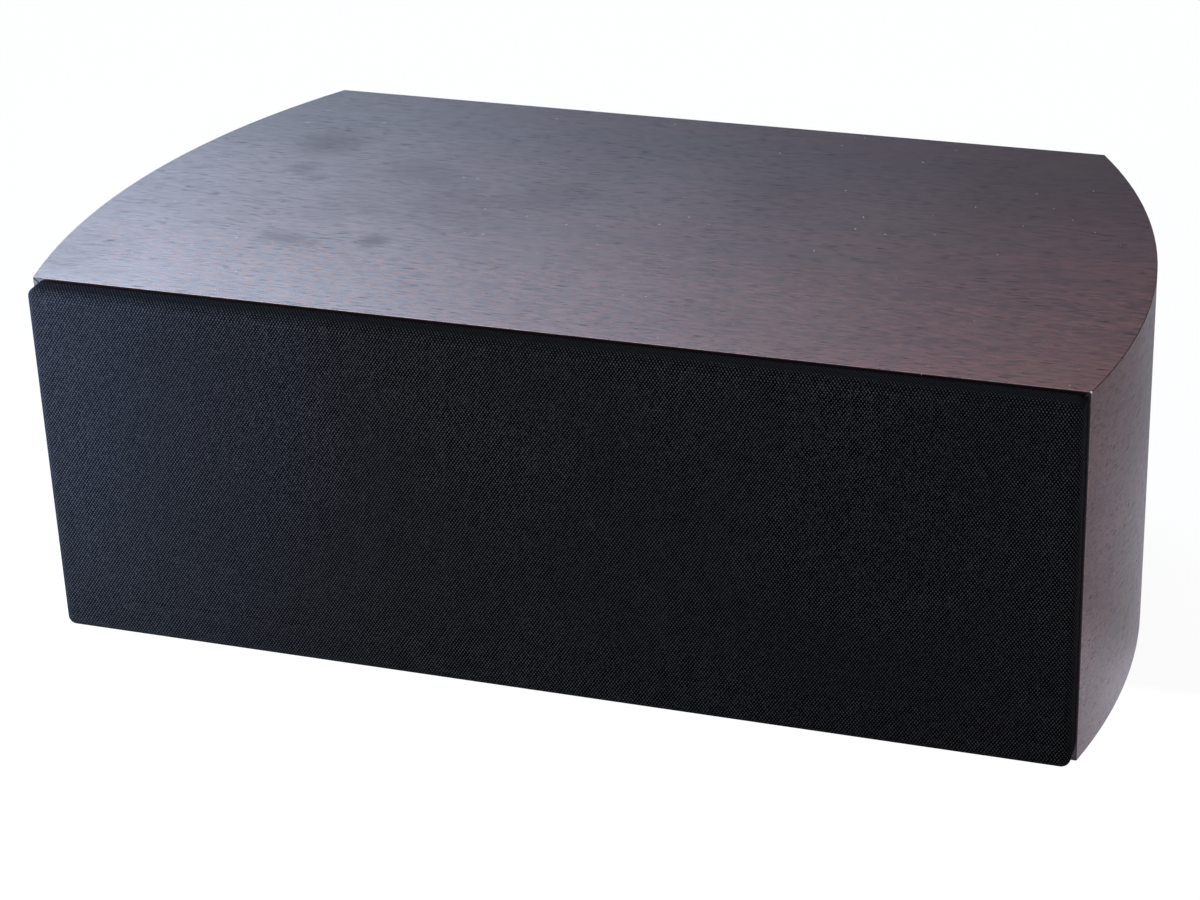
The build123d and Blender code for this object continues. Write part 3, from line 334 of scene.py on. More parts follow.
def veneer(name, turn):
    """Satin lacquered dark red veneer, its grain along the axis that the turn brings to X."""
    material, tree, shader, place = new_material(name)
    turned = {"Vector": place, "Rotation": (0.0, 0.0, turn)}
    along = add_node(tree, "ShaderNodeMapping", turned).outputs["Vector"]
    grain = use_group(tree, WOOD_GRAIN, {
        "Place": along, "Light": VENEER_LIGHT, "Dark": VENEER_DARK, "Pore": VENEER_PORE,
    })
    parts = add_node(tree, "ShaderNodeSeparateXYZ", {0: place})
    behind = calc(tree, "SUBTRACT", parts.outputs["Y"], CABINET_FRONT)
    # Redder in front and darker towards the back
    colour = blend(tree, ramp(tree, behind, 0.0, 0.25, 0.0, 0.72), grain.outputs["Colour"], VENEER_REAR)
    # The front edges are rubbed pale, and stained dark on their end faces
    ragged = speckle(tree, place, 260.0, 3.0, 0.7)
    rubbed = calc(tree, "MULTIPLY", ramp(tree, behind, 0.0011, 0.0004), ramp(tree, ragged, 0.36, 0.62))
    colour = blend(tree, calc(tree, "MULTIPLY", rubbed, 0.6), colour, VENEER_RUBBED)
    colour = blend(tree, ramp(tree, behind, 0.00026, 0.00014), colour, VENEER_STAIN)
    chip = away_from(tree, place, CHIP_PLACE)
    colour = blend(tree, ramp(tree, chip, CHIP_RADIUS, CHIP_RADIUS * 0.7), colour, BARE_CORE)
    dust = use_group(tree, DUST, {"Place": place, "Scale": 110.0, "Size": 0.027, "Share": 0.9})
    colour = blend(tree, calc(tree, "MULTIPLY", dust.outputs["Mask"], 0.8), colour, DUST_ON_WOOD)
    smudge = use_group(tree, SMUDGE_SPOTS, {"Place": place})
    colour = blend(tree, calc(tree, "MULTIPLY", smudge.outputs["Mask"], 0.75), colour, VENEER_SMUDGE)
    handled = ramp(tree, speckle(tree, place, 11.0, 3.0), 0.3, 0.7)
    kept = calc(tree, "MULTIPLY_ADD", handled, -0.07, 1.0)
    clean = calc(tree, "MULTIPLY_ADD", smudge.outputs["Mask"], -0.42, 1.0)
    lacquer = calc(tree, "MULTIPLY", calc(tree, "MULTIPLY", grain.outputs["Lacquer"], kept), clean)
    roughness = calc(tree, "MULTIPLY_ADD", grain.outputs["Roughness"], 0.1, 0.4)
    connect(tree, shader, Base_Color=colour, Roughness=roughness, Coat_Weight=lacquer,
            Normal=bump(tree, grain.outputs["Height"], 0.2, 0.00015))
    shader.inputs["Specular IOR Level"].default_value = 0.0
    shader.inputs["Coat Roughness"].default_value = 0.24
    shader.inputs["Coat IOR"].default_value = 1.53
    return material


def moulded(name, colour, drift=0.3, grain=1400.0, gloss=(0.35, 0.5), depth=0.00008, strength=0.25):
    """Moulded plastic, paint or rubber with a fine skin."""
    material, tree, shader, place = new_material(name)
    skin = use_group(tree, MOULDED, {
        "Place": place, "Colour": (*colour, 1.0), "Drift": drift, "Grain": grain,
        "Gloss low": gloss[0], "Gloss high": gloss[1],
    })
    connect(tree, shader, Base_Color=skin.outputs["Colour"], Roughness=skin.outputs["Roughness"],
            Normal=bump(tree, skin.outputs["Height"], strength, depth))
    return material


def speaker_cloth(name):
    """Black acoustic cloth: a weave on the bias, with a painted light brightening it towards the top left,
    and a little see-through.
    """
    material, tree, shader, place = new_material(name)
    flat = tree.nodes.new("ShaderNodeUVMap")
    flat.uv_map = "cloth"
    weave = use_group(tree, WEAVE, {"Place": flat.outputs["UV"], "Warp": CLOTH_WARP, "Weft": CLOTH_WEFT})
    worn = speckle(tree, place, 9.0, 3.0)
    uneven = speckle(tree, place, 850.0, 3.0, 0.75)
    parts = add_node(tree, "ShaderNodeSeparateXYZ", {0: place})
    across, deep, high = parts.outputs["X"], parts.outputs["Y"], parts.outputs["Z"]
    # Painted light: the cloth turns paler and bluer towards the left and the top, standing in for the side
    # lamp and the window's sheen
    painted_light_share = calc(tree, "MULTIPLY", ramp(tree, across, -0.04, -0.28), ramp(tree, high, 0.0, 0.18, 0.45, 1.0))
    shade = calc(tree, "ADD", centred(tree, uneven), calc(tree, "POWER", weave.outputs["Crown"], 1.7))
    gap = blend(tree, painted_light_share, CLOTH_GAP_DARK, CLOTH_GAP_PAINTED_LIT)
    thread = blend(tree, shade, gap, blend(tree, painted_light_share, CLOTH_CROWN_DARK, CLOTH_CROWN_PAINTED_LIT))
    thread = blend(tree, ramp(tree, worn, 0.3, 0.7, 0.0, 0.25), thread, CLOTH_WORN)
    # Painted shade: darker where it turns back over the grille's top edge, on the return that faces up
    turned = calc(tree, "MULTIPLY", ramp(tree, deep, cloth_low.y + 0.0016, cloth_low.y + 0.0042),
                  ramp(tree, high, cloth_high.z - 0.004, cloth_high.z - 0.001))
    thread = blend(tree, turned, thread, CLOTH_RETURN_PAINTED_SHADE, "MULTIPLY")
    dust = use_group(tree, DUST, {"Place": place, "Scale": 90.0, "Size": 0.02, "Share": 0.5})
    colour = blend(tree, calc(tree, "MULTIPLY", dust.outputs["Mask"], 0.25), thread, DUST_ON_CLOTH)
    connect(tree, shader, Base_Color=colour, Roughness=ramp(tree, worn, 0.2, 0.8, 0.5, 0.6),
            Normal=bump(tree, weave.outputs["Height"], 0.2, 0.0001))
    shader.inputs["Specular IOR Level"].default_value = 0.0
    shader.inputs["Sheen Weight"].default_value = 0.02
    shader.inputs["Sheen Roughness"].default_value = 0.35
    shader.inputs["Sheen Tint"].default_value = (0.85, 0.89, 1.0, 1.0)
    shader.inputs["Alpha"].default_value = 0.965
    return material


def fibre_cloth(name, colour, dark, pitch, roughness=0.8, coat=0.0):
    """Woven or pressed fibre: wadding, spider and dome."""
    material, tree, shader, place = new_material(name)
    warp = tuple(share / pitch for share in (1.0, 0.3, 0.4))
    weft = tuple(share / pitch for share in (-0.4, 0.3, 1.0))
    weave = use_group(tree, WEAVE, {"Place": place, "Warp": warp, "Weft": weft})
    cloud = speckle(tree, place, 120.0, 3.0)
    shade = calc(tree, "MULTIPLY_ADD", weave.outputs["Crown"], 0.6, calc(tree, "MULTIPLY", cloud, 0.4))
    connect(tree, shader, Base_Color=blend(tree, shade, (*dark, 1.0), (*colour, 1.0)),
            Roughness=ramp(tree, cloud, 0.3, 0.7, roughness - 0.08, roughness),
            Normal=bump(tree, weave.outputs["Height"], 0.4, pitch * 0.25), Coat_Weight=coat)
    return material


def wound_wire(name, axis):
    """Enamelled copper wire: close turns along an axis."""
    material, tree, shader, place = new_material(name)
    along = dot(tree, place, axis)
    turns = swing(tree, calc(tree, "MULTIPLY", along, 1 / WIRE_PITCH))
    cloud = speckle(tree, place, 90.0, 2.0)
    connect(tree, shader, Base_Color=blend(tree, turns, (0.20, 0.055, 0.018, 1.0), (0.62, 0.25, 0.10, 1.0)),
            Metallic=0.75, Roughness=ramp(tree, cloud, 0.3, 0.7, 0.28, 0.42),
            Normal=bump(tree, turns, 0.6, 0.0003))
    return material


def plated(name, colour, gloss=(0.16, 0.3)):
    """Turned and plated metal with faint tool marks."""
    material, tree, shader, place = new_material(name)
    cloud = speckle(tree, place, 60.0, 3.0)
    marks = speckle(tree, stretch(tree, place, (300.0, 3500.0, 300.0)), 1.0, 2.0)
    darker = tuple(share * 0.72 for share in colour)
    tint = blend(tree, ramp(tree, cloud, 0.3, 0.7, 0.0, 0.5), (*colour, 1.0), (*darker, 1.0))
    connect(tree, shader, Base_Color=tint, Metallic=1.0, Roughness=ramp(tree, cloud, 0.3, 0.7, *gloss),
            Normal=bump(tree, marks, 0.12, 0.00006))
    return material


FINISHES = {
    "veneer": veneer("veneer_top", 0.0),
    "black_board": moulded(
        "black_paint", (0.012, 0.012, 0.013), grain=600.0, gloss=(0.48, 0.6), depth=0.00015),
    "raw_board": moulded("raw_fibreboard", (0.36, 0.25, 0.15), drift=0.5, grain=2600.0, gloss=(0.85, 0.92)),
    "foot_rubber": moulded("foot_rubber", (0.018, 0.018, 0.018), gloss=(0.7, 0.82)),
    "grille_plastic": moulded("grille_frame_plastic", (0.016, 0.016, 0.017), gloss=(0.4, 0.52)),
    "grille_fabric": speaker_cloth("speaker_cloth"),
    "peg_plastic": moulded("peg_plastic", (0.02, 0.02, 0.021), gloss=(0.35, 0.45)),
    "cast_frame": moulded(
        "cast_frame_paint", (0.055, 0.057, 0.060), drift=0.35, grain=1800.0, gloss=(0.5, 0.62),
        depth=0.00012),
    "cone": moulded(
        "pressed_cone", (0.018, 0.018, 0.019), drift=0.6, grain=900.0, gloss=(0.42, 0.56), depth=0.0002,
        strength=0.4),
    "edge_rubber": moulded("edge_rubber", (0.012, 0.012, 0.012), gloss=(0.36, 0.48), grain=800.0),
    "coil": wound_wire("wound_wire", (0.0, 1.0, 0.0)),
    "spider_cloth": fibre_cloth("spider_cloth", (0.50, 0.36, 0.13), (0.22, 0.14, 0.05), 0.0008),
    "steel": plated("zinc_plate", (0.55, 0.56, 0.57), (0.28, 0.45)),
    "ferrite": moulded("ferrite", (0.035, 0.035, 0.038), drift=0.5, grain=2200.0, gloss=(0.45, 0.65)),
    "faceplate": moulded("faceplate_plastic", (0.014, 0.014, 0.015), gloss=(0.42, 0.54), grain=1900.0),
    "dome_silk": fibre_cloth("dome_silk", (0.022, 0.022, 0.024), (0.008, 0.008, 0.009), 0.0004, 0.45, 0.3),
    "screw_black": plated("black_oxide", (0.035, 0.035, 0.036), (0.32, 0.45)),
    "cup_plastic": moulded("cup_plastic", (0.013, 0.013, 0.014), gloss=(0.38, 0.5)),
    "post_metal": plated("gold_plate", (0.83, 0.60, 0.26), (0.14, 0.26)),
    "red_plastic": moulded(
        "red_cap", (0.42, 0.010, 0.012), drift=0.2, gloss=(0.16, 0.26), strength=0.08),
    "black_plastic": moulded(
        "black_cap", (0.012, 0.012, 0.012), drift=0.2, gloss=(0.16, 0.26), strength=0.08),
    "board_green": moulded("circuit_board", (0.025, 0.13, 0.055), gloss=(0.3, 0.42)),
    "film_capacitor": moulded("film_wrap", (0.42, 0.33, 0.05), gloss=(0.22, 0.34)),
    "resistor": moulded("resistor_ceramic", (0.62, 0.61, 0.56), gloss=(0.6, 0.75)),
    "wadding": fibre_cloth("wadding", (0.82, 0.82, 0.80), (0.60, 0.60, 0.58), 0.002, 0.95),
}
SIDE_VENEER = veneer("veneer_side", math.pi / 2)

for part in frame["record"]["subparts"]:
    name = part["node"]
    finish = SIDE_VENEER if name.startswith("side_panel") else FINISHES[part["material_slot"]]
    mesh = nodes[name].data
    mesh.materials.clear()
    mesh.materials.append(finish)


# Making pieces
# How far the veneered panels' edges are rounded
VENEER_EDGE = 0.00035


def finish_piece(shape, name, material, body, replaced=()):
    """Turns a finished bmesh into a piece that rides on a body and stands for its CAD nodes."""
    mesh = bpy.data.meshes.new(name)
    bmesh.ops.recalc_face_normals(shape, faces=shape.faces)
    for face in shape.faces:
        face.smooth = True
    shape.to_mesh(mesh)
    shape.free()
    mesh.materials.append(material)
    piece = bpy.data.objects.new(name, mesh)
    bpy.context.scene.collection.objects.link(piece)
    if body:
        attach(piece, body)
    if replaced:
        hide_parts(*replaced)
    return piece


def soften_edges(piece, width, angle=30.0, segments=2):
    """Rounds a piece's sharp edges by a small radius."""
    edge = piece.modifiers.new("soft_edge", "BEVEL")
    edge.width = width
    edge.segments = segments
    edge.limit_method = "ANGLE"
    edge.angle_limit = math.radians(angle)
    even = piece.modifiers.new("even_normals", "WEIGHTED_NORMAL")
    even.weight = 100
    even.keep_sharp = False


def merged_copy(node):
    """A copy of a CAD node's mesh with its loose triangles joined and its flat faces made whole."""
    shape = bmesh.new()
    shape.from_mesh(nodes[node].data)
    bmesh.ops.remove_doubles(shape, verts=shape.verts, dist=0.000002)
    bmesh.ops.dissolve_limit(shape, angle_limit=math.radians(0.3), verts=shape.verts, edges=shape.edges)
    return shape


def join_rings(shape, rings, closed=False):
    """Skins a row of rings that have the same number of points."""
    made = [[shape.verts.new(point) for point in ring] for ring in rings]
    pairs = list(zip(made, made[1:])) + ([(made[-1], made[0])] if closed else [])
    for near, far in pairs:
        for i in range(len(near)):
            following = (i + 1) % len(near)
            shape.faces.new((near[i], near[following], far[following], far[i]))
    return made


def make_veneered(node, material):
    """A cabinet panel with softened edges, in its veneer."""
    panel = finish_piece(merged_copy(node), node + "_veneered", material, "cabinet", (node,))
    soften_edges(panel, VENEER_EDGE)
    return panel


for deck in ("top_panel", "bottom_panel"):
    make_veneered(deck, FINISHES["veneer"])
for side in ("side_panel_left", "side_panel_right"):
    make_veneered(side, SIDE_VENEER)


# Grille cloth: stretched over the frame, round its edges and turned onto its back
# The radius of its front edge and of its corners, how far it reaches onto the back, its fold there, and
# the step between its points
CLOTH_EDGE = 0.0036
CLOTH_CORNER = 0.0045
CLOTH_TURN = 0.009
CLOTH_BACK_FOLD = 0.0005
CLOTH_STEP = 0.004
CLOTH_HALF_X = (cloth_high.x - cloth_low.x) / 2 - CLOTH_CORNER
CLOTH_HALF_Z = (cloth_high.z - cloth_low.z) / 2 - CLOTH_CORNER

# The gathers near its corners: how far along they reach, how deep they are and how close together
PUCKER_REACH = 0.012
PUCKER_DEPTH = 0.00022
PUCKER_PITCH = 0.0021


def cloth_corner(turn):
    """The centre of the rounded corner that follows a direction."""
    inside = turn + 0.1
    return math.copysign(CLOTH_HALF_X, math.cos(inside)), math.copysign(CLOTH_HALF_Z, math.sin(inside))


def cloth_outline():
    """Points round the slab: a point on its core, and the direction out of the slab there."""
    points = []
    for quarter in range(4):
        start = quarter * math.pi / 2
        corner = cloth_corner(start)
        for step in range(9):
            turn = start + step * math.pi / 16
            points.append((corner[0], corner[1], math.cos(turn), math.sin(turn)))
        following = start + math.pi / 2
        other = cloth_corner(following)
        length = math.hypot(other[0] - corner[0], other[1] - corner[1])
        count = int(length / CLOTH_STEP)
        for step in range(1, count):
            share = step / count
            points.append((
                corner[0] + (other[0] - corner[0]) * share, corner[1] + (other[1] - corner[1]) * share,
                math.cos(following), math.sin(following),
            ))
    return points


def cloth_profile():
    """Steps from the flat front, round the edge, over the return and onto the back: reach, depth, way."""
    flat = CLOTH_CORNER - CLOTH_EDGE
    depth = cloth_high.y - cloth_low.y
    steps = [(flat - 0.0012, 0.0, -0.0012), (flat, 0.0, 0.0)]
    for i in range(1, 9):
        turn = i * math.pi / 16
        reach = flat + CLOTH_EDGE * math.sin(turn)
        steps.append((reach, CLOTH_EDGE * (1 - math.cos(turn)), CLOTH_EDGE * turn))
    way = CLOTH_EDGE * math.pi / 2
    length = depth - CLOTH_EDGE - CLOTH_BACK_FOLD
    for i in range(1, 6):
        steps.append((CLOTH_CORNER, CLOTH_EDGE + length * i / 5, way + length * i / 5))
    way += length
    for i in range(1, 4):
        turn = i * math.pi / 6
        steps.append((
            CLOTH_CORNER - CLOTH_BACK_FOLD * (1 - math.cos(turn)),
            depth - CLOTH_BACK_FOLD * (1 - math.sin(turn)),
            way + CLOTH_BACK_FOLD * turn,
        ))
    way += CLOTH_BACK_FOLD * math.pi / 2
    for i in range(1, 4):
        inward = (CLOTH_TURN - CLOTH_BACK_FOLD) * i / 3
        steps.append((CLOTH_CORNER - CLOTH_BACK_FOLD - inward, depth, way + inward))
    return steps


def pucker(core_x, depth_share, along):
    """How far the cloth gathers in on its return near a corner."""
    nearness = math.exp(-(along / PUCKER_REACH) ** 2)
    swell = math.sin(math.pi * min(max(depth_share, 0.0), 1.0))
    fold = 0.5 + 0.5 * math.sin(along * math.tau / PUCKER_PITCH + 3.0 * core_x)
    return -PUCKER_DEPTH * nearness * swell * fold


def make_cloth():
    """The cloth in one piece, with its flat layout in metres as the UV map."""
    outline = cloth_outline()
    middle_x = (cloth_low.x + cloth_high.x) / 2
    middle_z = (cloth_low.z + cloth_high.z) / 2
    depth = cloth_high.y - cloth_low.y
    rings = []
    layouts = []
    for reach, back, way in cloth_profile():
        inward, outward = max(-reach, 0.0), max(reach, 0.0)
        flat = CLOTH_CORNER - CLOTH_EDGE + way
        points = []
        layout = []
        for core_x, core_z, out_x, out_z in outline:
            x = core_x * (CLOTH_HALF_X - inward) / CLOTH_HALF_X + out_x * outward
            z = core_z * (CLOTH_HALF_Z - inward) / CLOTH_HALF_Z + out_z * outward
            straight = abs(out_x * out_z) < 0.01
            along = max(CLOTH_HALF_X - abs(core_x), CLOTH_HALF_Z - abs(core_z)) if straight else 0.0
            gather = pucker(core_x, (back - CLOTH_EDGE) / (depth - CLOTH_EDGE), along)
            points.append((
                middle_x + x + out_x * gather, cloth_low.y + back, middle_z + z + out_z * gather,
            ))
            layout.append((core_x + out_x * flat, core_z + out_z * flat))
        rings.append(points)
        layouts.append(layout)
    shape = bmesh.new()
    made = join_rings(shape, rings)
    shape.faces.new(made[0])
    flat_places = {}
    for vertices, layout in zip(made, layouts):
        flat_places.update(zip(vertices, layout))
    layer = shape.loops.layers.uv.new("cloth")
    for face in shape.faces:
        for loop in face.loops:
            loop[layer].uv = flat_places[loop.vert]
    black = FINISHES["grille_fabric"]
    return finish_piece(shape, "speaker_cloth", black, "grille", ("grille_cloth",))


cloth = make_cloth()


# Softened copies of the moulded and cast pieces, by body, with the radius of their edges
SOFTENED = {
    "cabinet": {
        "back_panel": 0.0006, "terminal_cup": 0.0004,
        "port_left": 0.0003, "port_right": 0.0003, "feet": 0.0006,
        "woofer_basket_left": 0.0003, "woofer_basket_right": 0.0003, "tweeter_faceplate": 0.0003,
        "post_red": 0.0002, "post_black": 0.0002,
    },
    "grille": {"grille_frame": 0.0004, "grille_pegs": 0.0003},
    "red_shell": {"nut_shell_red": 0.0002},
    "black_shell": {"nut_shell_black": 0.0002},
}
SLOTS = {part["node"]: part["material_slot"] for part in frame["record"]["subparts"]}

for body, pieces in SOFTENED.items():
    for node, width in pieces.items():
        slot = SLOTS[node]
        soft = finish_piece(merged_copy(node), node + "_softened", FINISHES[slot], body, (node,))
        soften_edges(soft, width, 40.0)


# Turned pieces
def ring(x, z, y, radii, turn=0.0):
    """Points round an axis along Y, each at its own radius, all in metres."""
    count = len(radii)
    angles = [turn + math.tau * i / count for i in range(count)]
    return [(x + r * math.cos(a), y, z + r * math.sin(a)) for r, a in zip(radii, angles)]


# Screws: points round them, half the angle of a cross arm, the head's height and the point's length
SCREW_STEPS = 48
CROSS_HALF_ANGLE = 15.0
SCREW_HEIGHT = 0.002
SCREW_POINT = 0.0015


def cross_outline(reach):
    """Radii of a cross recess with straight arms, going round it."""
    radii = []
    half_width = reach * math.tan(math.radians(CROSS_HALF_ANGLE))
    for i in range(SCREW_STEPS):
        turn = (math.tau * i / SCREW_STEPS + math.pi / 4) % (math.pi / 2) - math.pi / 4
        near_arm = abs(turn) <= math.radians(CROSS_HALF_ANGLE + 0.01)
        radii.append(reach / math.cos(turn) if near_arm else half_width / math.sin(abs(turn)))
    return radii


def make_screws(node, places, seat, facing, head, shank, length):
    """Pan-head screws with a cross recess, each turned its own way."""
    shape = bmesh.new()
    for index, (x, z) in enumerate(places):
        turn = 0.35 + 1.9 * index
        section = [(shank * 0.3, -length), (shank, SCREW_POINT - length), (shank, 0.0), (head, 0.0)]
        section.append((head, SCREW_HEIGHT * 0.35))
        for i in range(1, 6):
            bow = i * math.pi / 10
            section.append((head * (0.6 + 0.4 * math.cos(bow)), SCREW_HEIGHT * (0.35 + 0.63 * math.sin(bow))))
        rings = [ring(x, z, seat + facing * rise, [radius] * SCREW_STEPS, turn) for radius, rise in section]
        for reach, rise in ((head * 0.52, SCREW_HEIGHT), (head * 0.40, SCREW_HEIGHT * 0.35)):
            rings.append(ring(x, z, seat + facing * rise, cross_outline(reach), turn))
        made = join_rings(shape, rings)
        shape.faces.new(made[0])
        shape.faces.new(made[-1])
    slot = SLOTS[node]
    screws = finish_piece(shape, node + "_crossed", FINISHES[slot], "cabinet", (node,))
    screws.data.set_sharp_from_angle(angle=math.radians(40))
    return screws


def around(x, z, radius):
    """Four places on a circle, between the upright and level directions."""
    turns = [math.pi / 4 + math.pi / 2 * i for i in range(4)]
    return [(x + radius * math.cos(t), z + radius * math.sin(t)) for t in turns]


# The drivers' centres, the circles their screws lie on, and the terminal cup's screws
WOOFER_Z = 0.0945
WOOFER_X = 0.146
TWEETER_Z = 0.114
WOOFER_SCREW_CIRCLE = 0.0664
TWEETER_SCREW_CIRCLE = 0.032
CUP_SCREW_X = 0.038
CUP_SCREW_Z = 0.025

# Where the screw heads sit, in front and behind
FRONT_SEAT = CABINET_FRONT + 0.0016
REAR_SEAT = 0.14225

# Screws by size: the radius of the head and of the shank, and the length
WIDE_SCREW = (0.0033, 0.0019, 0.016)
SMALL_SCREW = (0.0027, 0.0015, 0.013)

woofer_places = [place for x in (-WOOFER_X, WOOFER_X) for place in around(x, WOOFER_Z, WOOFER_SCREW_CIRCLE)]
tweeter_places = around(0.0, TWEETER_Z, TWEETER_SCREW_CIRCLE)
cup_places = [(x, WOOFER_Z + z) for x in (-CUP_SCREW_X, CUP_SCREW_X) for z in (-CUP_SCREW_Z, CUP_SCREW_Z)]
make_screws("woofer_screws", woofer_places, FRONT_SEAT, -1, *WIDE_SCREW)
make_screws("tweeter_screws", tweeter_places, FRONT_SEAT, -1, *SMALL_SCREW)
make_screws("terminal_screws", cup_places, REAR_SEAT, 1, *SMALL_SCREW)


# Rubber edges and spiders, turned from their sections; on the speaker they are held at the rim and carried by
# the cone inside
# Points round them
TURNED_STEPS = 128

# In millimetres: the surround's roll, its centre and its outer and inner radius, and its skin
ROLL_CENTRE = 52.5
ROLL_OUTER = 5.0
ROLL_INNER = 4.2
EDGE_THICKNESS = 0.8

# In millimetres: the spider's depth behind the front, where its waves begin and end, and their height
SPIDER_DEPTH = 33.3
SPIDER_WAVES = (15.4, 35.0)
SPIDER_SWING = 0.65
SPIDER_THICKNESS = 0.6


def make_bending(node, x, section):
    """A turned disc made from its section round the woofer's axis, in place of its CAD node."""
    shape = bmesh.new()
    rings = []
    for radius, depth in section:
        rings.append(ring(x, WOOFER_Z, CABINET_FRONT + depth / 1000, [radius / 1000] * TURNED_STEPS))
    join_rings(shape, rings, closed=True)
    slot = SLOTS[node]
    disc = finish_piece(shape, node + "_bending", FINISHES[slot], None, (node,))
    disc.data.set_sharp_from_angle(angle=math.radians(40))
    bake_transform(disc)
    return disc


def surround_section():
    """A half roll between the frame's flange and the cone's rim: (radius, depth) in millimetres."""
    turns = [math.pi * i / 20 for i in range(21)]
    front = [(62.0, 0.15), (61.7, 0.0), (58.0, 0.0)]
    front += [(ROLL_CENTRE + ROLL_OUTER * math.cos(t), -ROLL_OUTER * math.sin(t)) for t in turns]
    front += [(46.9, 0.0), (43.6, 0.0), (43.2, 0.25)]
    back = [(43.2, EDGE_THICKNESS), (ROLL_CENTRE - ROLL_INNER, EDGE_THICKNESS)]
    back += [(ROLL_CENTRE + ROLL_INNER * math.cos(t), -ROLL_INNER * math.sin(t)) for t in reversed(turns)]
    return front + back + [(ROLL_CENTRE + ROLL_INNER, EDGE_THICKNESS), (62.0, EDGE_THICKNESS)]


def spider_section():
    """Four soft corrugations between two flat lands: (radius, depth) in millimetres."""
    count = 48
    inner, outer = SPIDER_WAVES
    front = [(13.4, SPIDER_DEPTH)]
    for i in range(count + 1):
        swell = SPIDER_SWING * (1 - math.cos(math.tau * 4 * i / count))
        front.append((inner + (outer - inner) * i / count, SPIDER_DEPTH - swell))
    front.append((41.0, SPIDER_DEPTH))
    return front + [(radius, depth + SPIDER_THICKNESS) for radius, depth in reversed(front)]


for side, x in (("left", -WOOFER_X), ("right", WOOFER_X)):
    make_bending("woofer_surround_" + side, x, surround_section())
    make_bending("spider_" + side, x, spider_section())


# Floor, light and camera
# How far the floor's own shadows give way to white
FLOOR_WHITE = 0.95


def make_floor():
    """A pale table, white to the camera; in reflections a painted glow, brightest near the object, dimming
    towards the back and tinted as window light.
    """
    shape = bmesh.new()
    bmesh.ops.create_grid(shape, x_segments=1, y_segments=1, size=6.0)
    mesh = bpy.data.meshes.new("floor")
    shape.to_mesh(mesh)
    shape.free()
    floor = bpy.data.objects.new("floor", mesh)
    bpy.context.scene.collection.objects.link(floor)
    material = bpy.data.materials.new("pale_floor")
    material.use_nodes = True
    tree = material.node_tree
    tree.nodes.remove(tree.nodes["Principled BSDF"])
    place = tree.nodes.new("ShaderNodeTexCoord").outputs["Object"]
    path = tree.nodes.new("ShaderNodeLightPath")
    paper = add_node(tree, "ShaderNodeBsdfDiffuse", {"Color": (0.86, 0.86, 0.86, 1.0)})
    deep = add_node(tree, "ShaderNodeSeparateXYZ", {0: place}).outputs["Y"]
    # Painted light: in reflections the floor glows brightest near the object and dims towards the back
    near = ramp(tree, deep, -0.075, 0.005, 1.08, 0.60)
    painted_reflected_glow = calc(tree, "SUBTRACT", near, ramp(tree, deep, 0.08, 0.25, 0.0, 0.16))
    seen = calc(tree, "MAXIMUM", path.outputs["Is Camera Ray"], path.outputs["Is Transmission Ray"])
    strength = calc(tree, "MAXIMUM", painted_reflected_glow, seen)
    # Painted light: in reflections the glow is tinted bluish-mauve, as window light on the floor
    tint = blend(tree, seen, (0.94, 0.90, 1.04, 1.0), (1.0, 1.0, 1.0, 1.0))
    glow = add_node(tree, "ShaderNodeEmission", {"Color": tint, "Strength": strength})
    share = calc(tree, "MAXIMUM", calc(tree, "MULTIPLY", seen, FLOOR_WHITE), path.outputs["Is Glossy Ray"])
    mixed = add_node(tree, "ShaderNodeMixShader", {0: share, 1: paper.outputs[0], 2: glow.outputs[0]})
    tree.links.new(mixed.outputs[0], tree.nodes["Material Output"].inputs["Surface"])
    mesh.materials.append(material)


# The window behind on the left, in degrees: its azimuth from +Y towards +X, its spread, and where its
# lower and upper edges fade
WINDOW_AZIMUTH = -41.6
WINDOW_SPREAD = 11.3
WINDOW_LOWER = (21.6, 25.6)
WINDOW_UPPER = (44.0, 62.0)
WINDOW_LIGHT = (12.4, 15.2, 19.8, 1.0)
SHADE = (0.02, 0.02, 0.025, 1.0)
WALL_LIGHT = (0.35, 0.34, 0.42, 1.0)
CEILING_LIGHT = (0.58, 0.58, 0.64, 1.0)
FRONT_LIGHT = (0.50, 0.50, 0.54, 1.0)
# Where the wall and the ceiling begin, in degrees of height, and the front, as the direction's Y
WALL_EDGE = (18.6, 22.6)
CEILING_EDGE = (40.0, 70.0)
FRONT_EDGE = (0.35, -0.15)


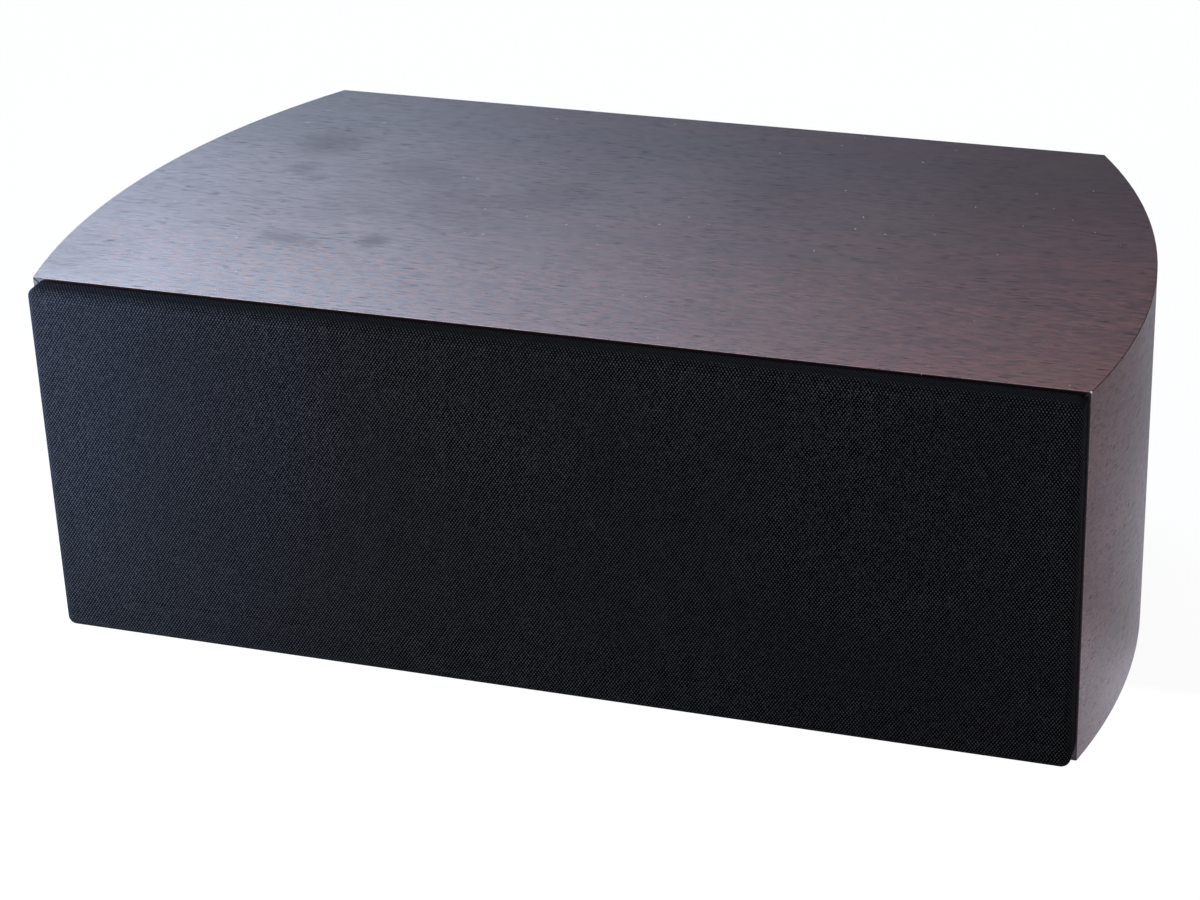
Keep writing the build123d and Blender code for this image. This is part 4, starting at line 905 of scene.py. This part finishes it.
def make_world():
    """A window low behind on the left, a dim wall, a soft ceiling and front, and white for the camera."""
    world = bpy.data.worlds.new("studio")
    bpy.context.scene.world = world
    world.use_nodes = True
    tree = world.node_tree
    tree.nodes.clear()
    direction = tree.nodes.new("ShaderNodeTexCoord").outputs["Generated"]
    parts = add_node(tree, "ShaderNodeSeparateXYZ", {0: direction})
    rise = calc(tree, "MULTIPLY", calc(tree, "ARCSINE", parts.outputs["Z"]), 180 / math.pi)
    azimuth = calc(tree, "ARCTAN2", parts.outputs["X"], parts.outputs["Y"])
    azimuth = calc(tree, "MULTIPLY", azimuth, 180 / math.pi)
    aside = calc(tree, "DIVIDE", calc(tree, "SUBTRACT", azimuth, WINDOW_AZIMUTH), WINDOW_SPREAD)
    across = calc(tree, "EXPONENT", calc(tree, "MULTIPLY", calc(tree, "MULTIPLY", aside, aside), -0.5))
    below = ramp(tree, rise, *WINDOW_UPPER, 1.0, 0.0)
    height = calc(tree, "MULTIPLY", ramp(tree, rise, *WINDOW_LOWER), below)
    light = blend(tree, ramp(tree, rise, *WALL_EDGE), SHADE, WALL_LIGHT)
    light = blend(tree, ramp(tree, parts.outputs["Y"], *FRONT_EDGE), light, FRONT_LIGHT)
    light = blend(tree, ramp(tree, rise, *CEILING_EDGE), light, CEILING_LIGHT)
    light = blend(tree, calc(tree, "MULTIPLY", across, height), light, WINDOW_LIGHT, "ADD")
    path = tree.nodes.new("ShaderNodeLightPath")
    seen = calc(tree, "MAXIMUM", path.outputs["Is Camera Ray"], path.outputs["Is Transmission Ray"])
    studio = add_node(tree, "ShaderNodeBackground", {"Color": light, "Strength": 1.0})
    white = add_node(tree, "ShaderNodeBackground", {"Color": (1.0, 1.0, 1.0, 1.0), "Strength": 1.0})
    mixed = add_node(tree, "ShaderNodeMixShader", {0: seen, 1: studio.outputs[0], 2: white.outputs[0]})
    out = tree.nodes.new("ShaderNodeOutputWorld")
    tree.links.new(mixed.outputs[0], out.inputs["Surface"])


def make_side_light():
    """A soft lamp close by on the left, which fades along the cloth."""
    lamp = bpy.data.lights.new("left_lamp", "AREA")
    lamp.shape = "RECTANGLE"
    lamp.size = 0.3
    lamp.size_y = 0.4
    lamp.energy = 5.0
    lamp.color = (0.66, 0.78, 1.0)
    holder = bpy.data.objects.new("left_lamp", lamp)
    bpy.context.scene.collection.objects.link(holder)
    holder.visible_camera = False
    where = Vector((-0.50, -0.32, 0.17))
    aim = Vector((-0.22, -0.14, 0.13))
    turned = (where - aim).to_track_quat("Z", "Y").to_matrix().to_4x4()
    holder.matrix_world = Matrix.Translation(where) @ turned


def make_camera():
    """The photograph's view: turned from the front towards the right, raised, and slightly rolled."""
    azimuth, elevation, roll = math.radians(19.54), math.radians(26.55), math.radians(-2.17)
    target = Vector((0.08285, -0.2840, 0.2107))
    distance = 1.2156
    level = math.cos(elevation)
    back = Vector((math.sin(azimuth) * level, -math.cos(azimuth) * level, math.sin(elevation)))
    right = (-back).cross(Vector((0, 0, 1))).normalized()
    up = right.cross(-back)
    tilted_right = right * math.cos(roll) + up * math.sin(roll)
    tilted_up = up * math.cos(roll) - right * math.sin(roll)
    lens = bpy.data.cameras.new("camera")
    lens.lens = 92.82
    lens.sensor_width = 36.0
    lens.sensor_fit = "HORIZONTAL"
    lens.clip_start = 0.05
    camera = bpy.data.objects.new("camera", lens)
    bpy.context.scene.collection.objects.link(camera)
    turned = Matrix((tilted_right, tilted_up, back)).transposed().to_4x4()
    camera.matrix_world = Matrix.Translation(target + back * distance) @ turned
    bpy.context.scene.camera = camera


make_floor()
make_world()
make_side_light()
make_camera()
bpy.context.scene.view_settings.view_transform = "Standard"
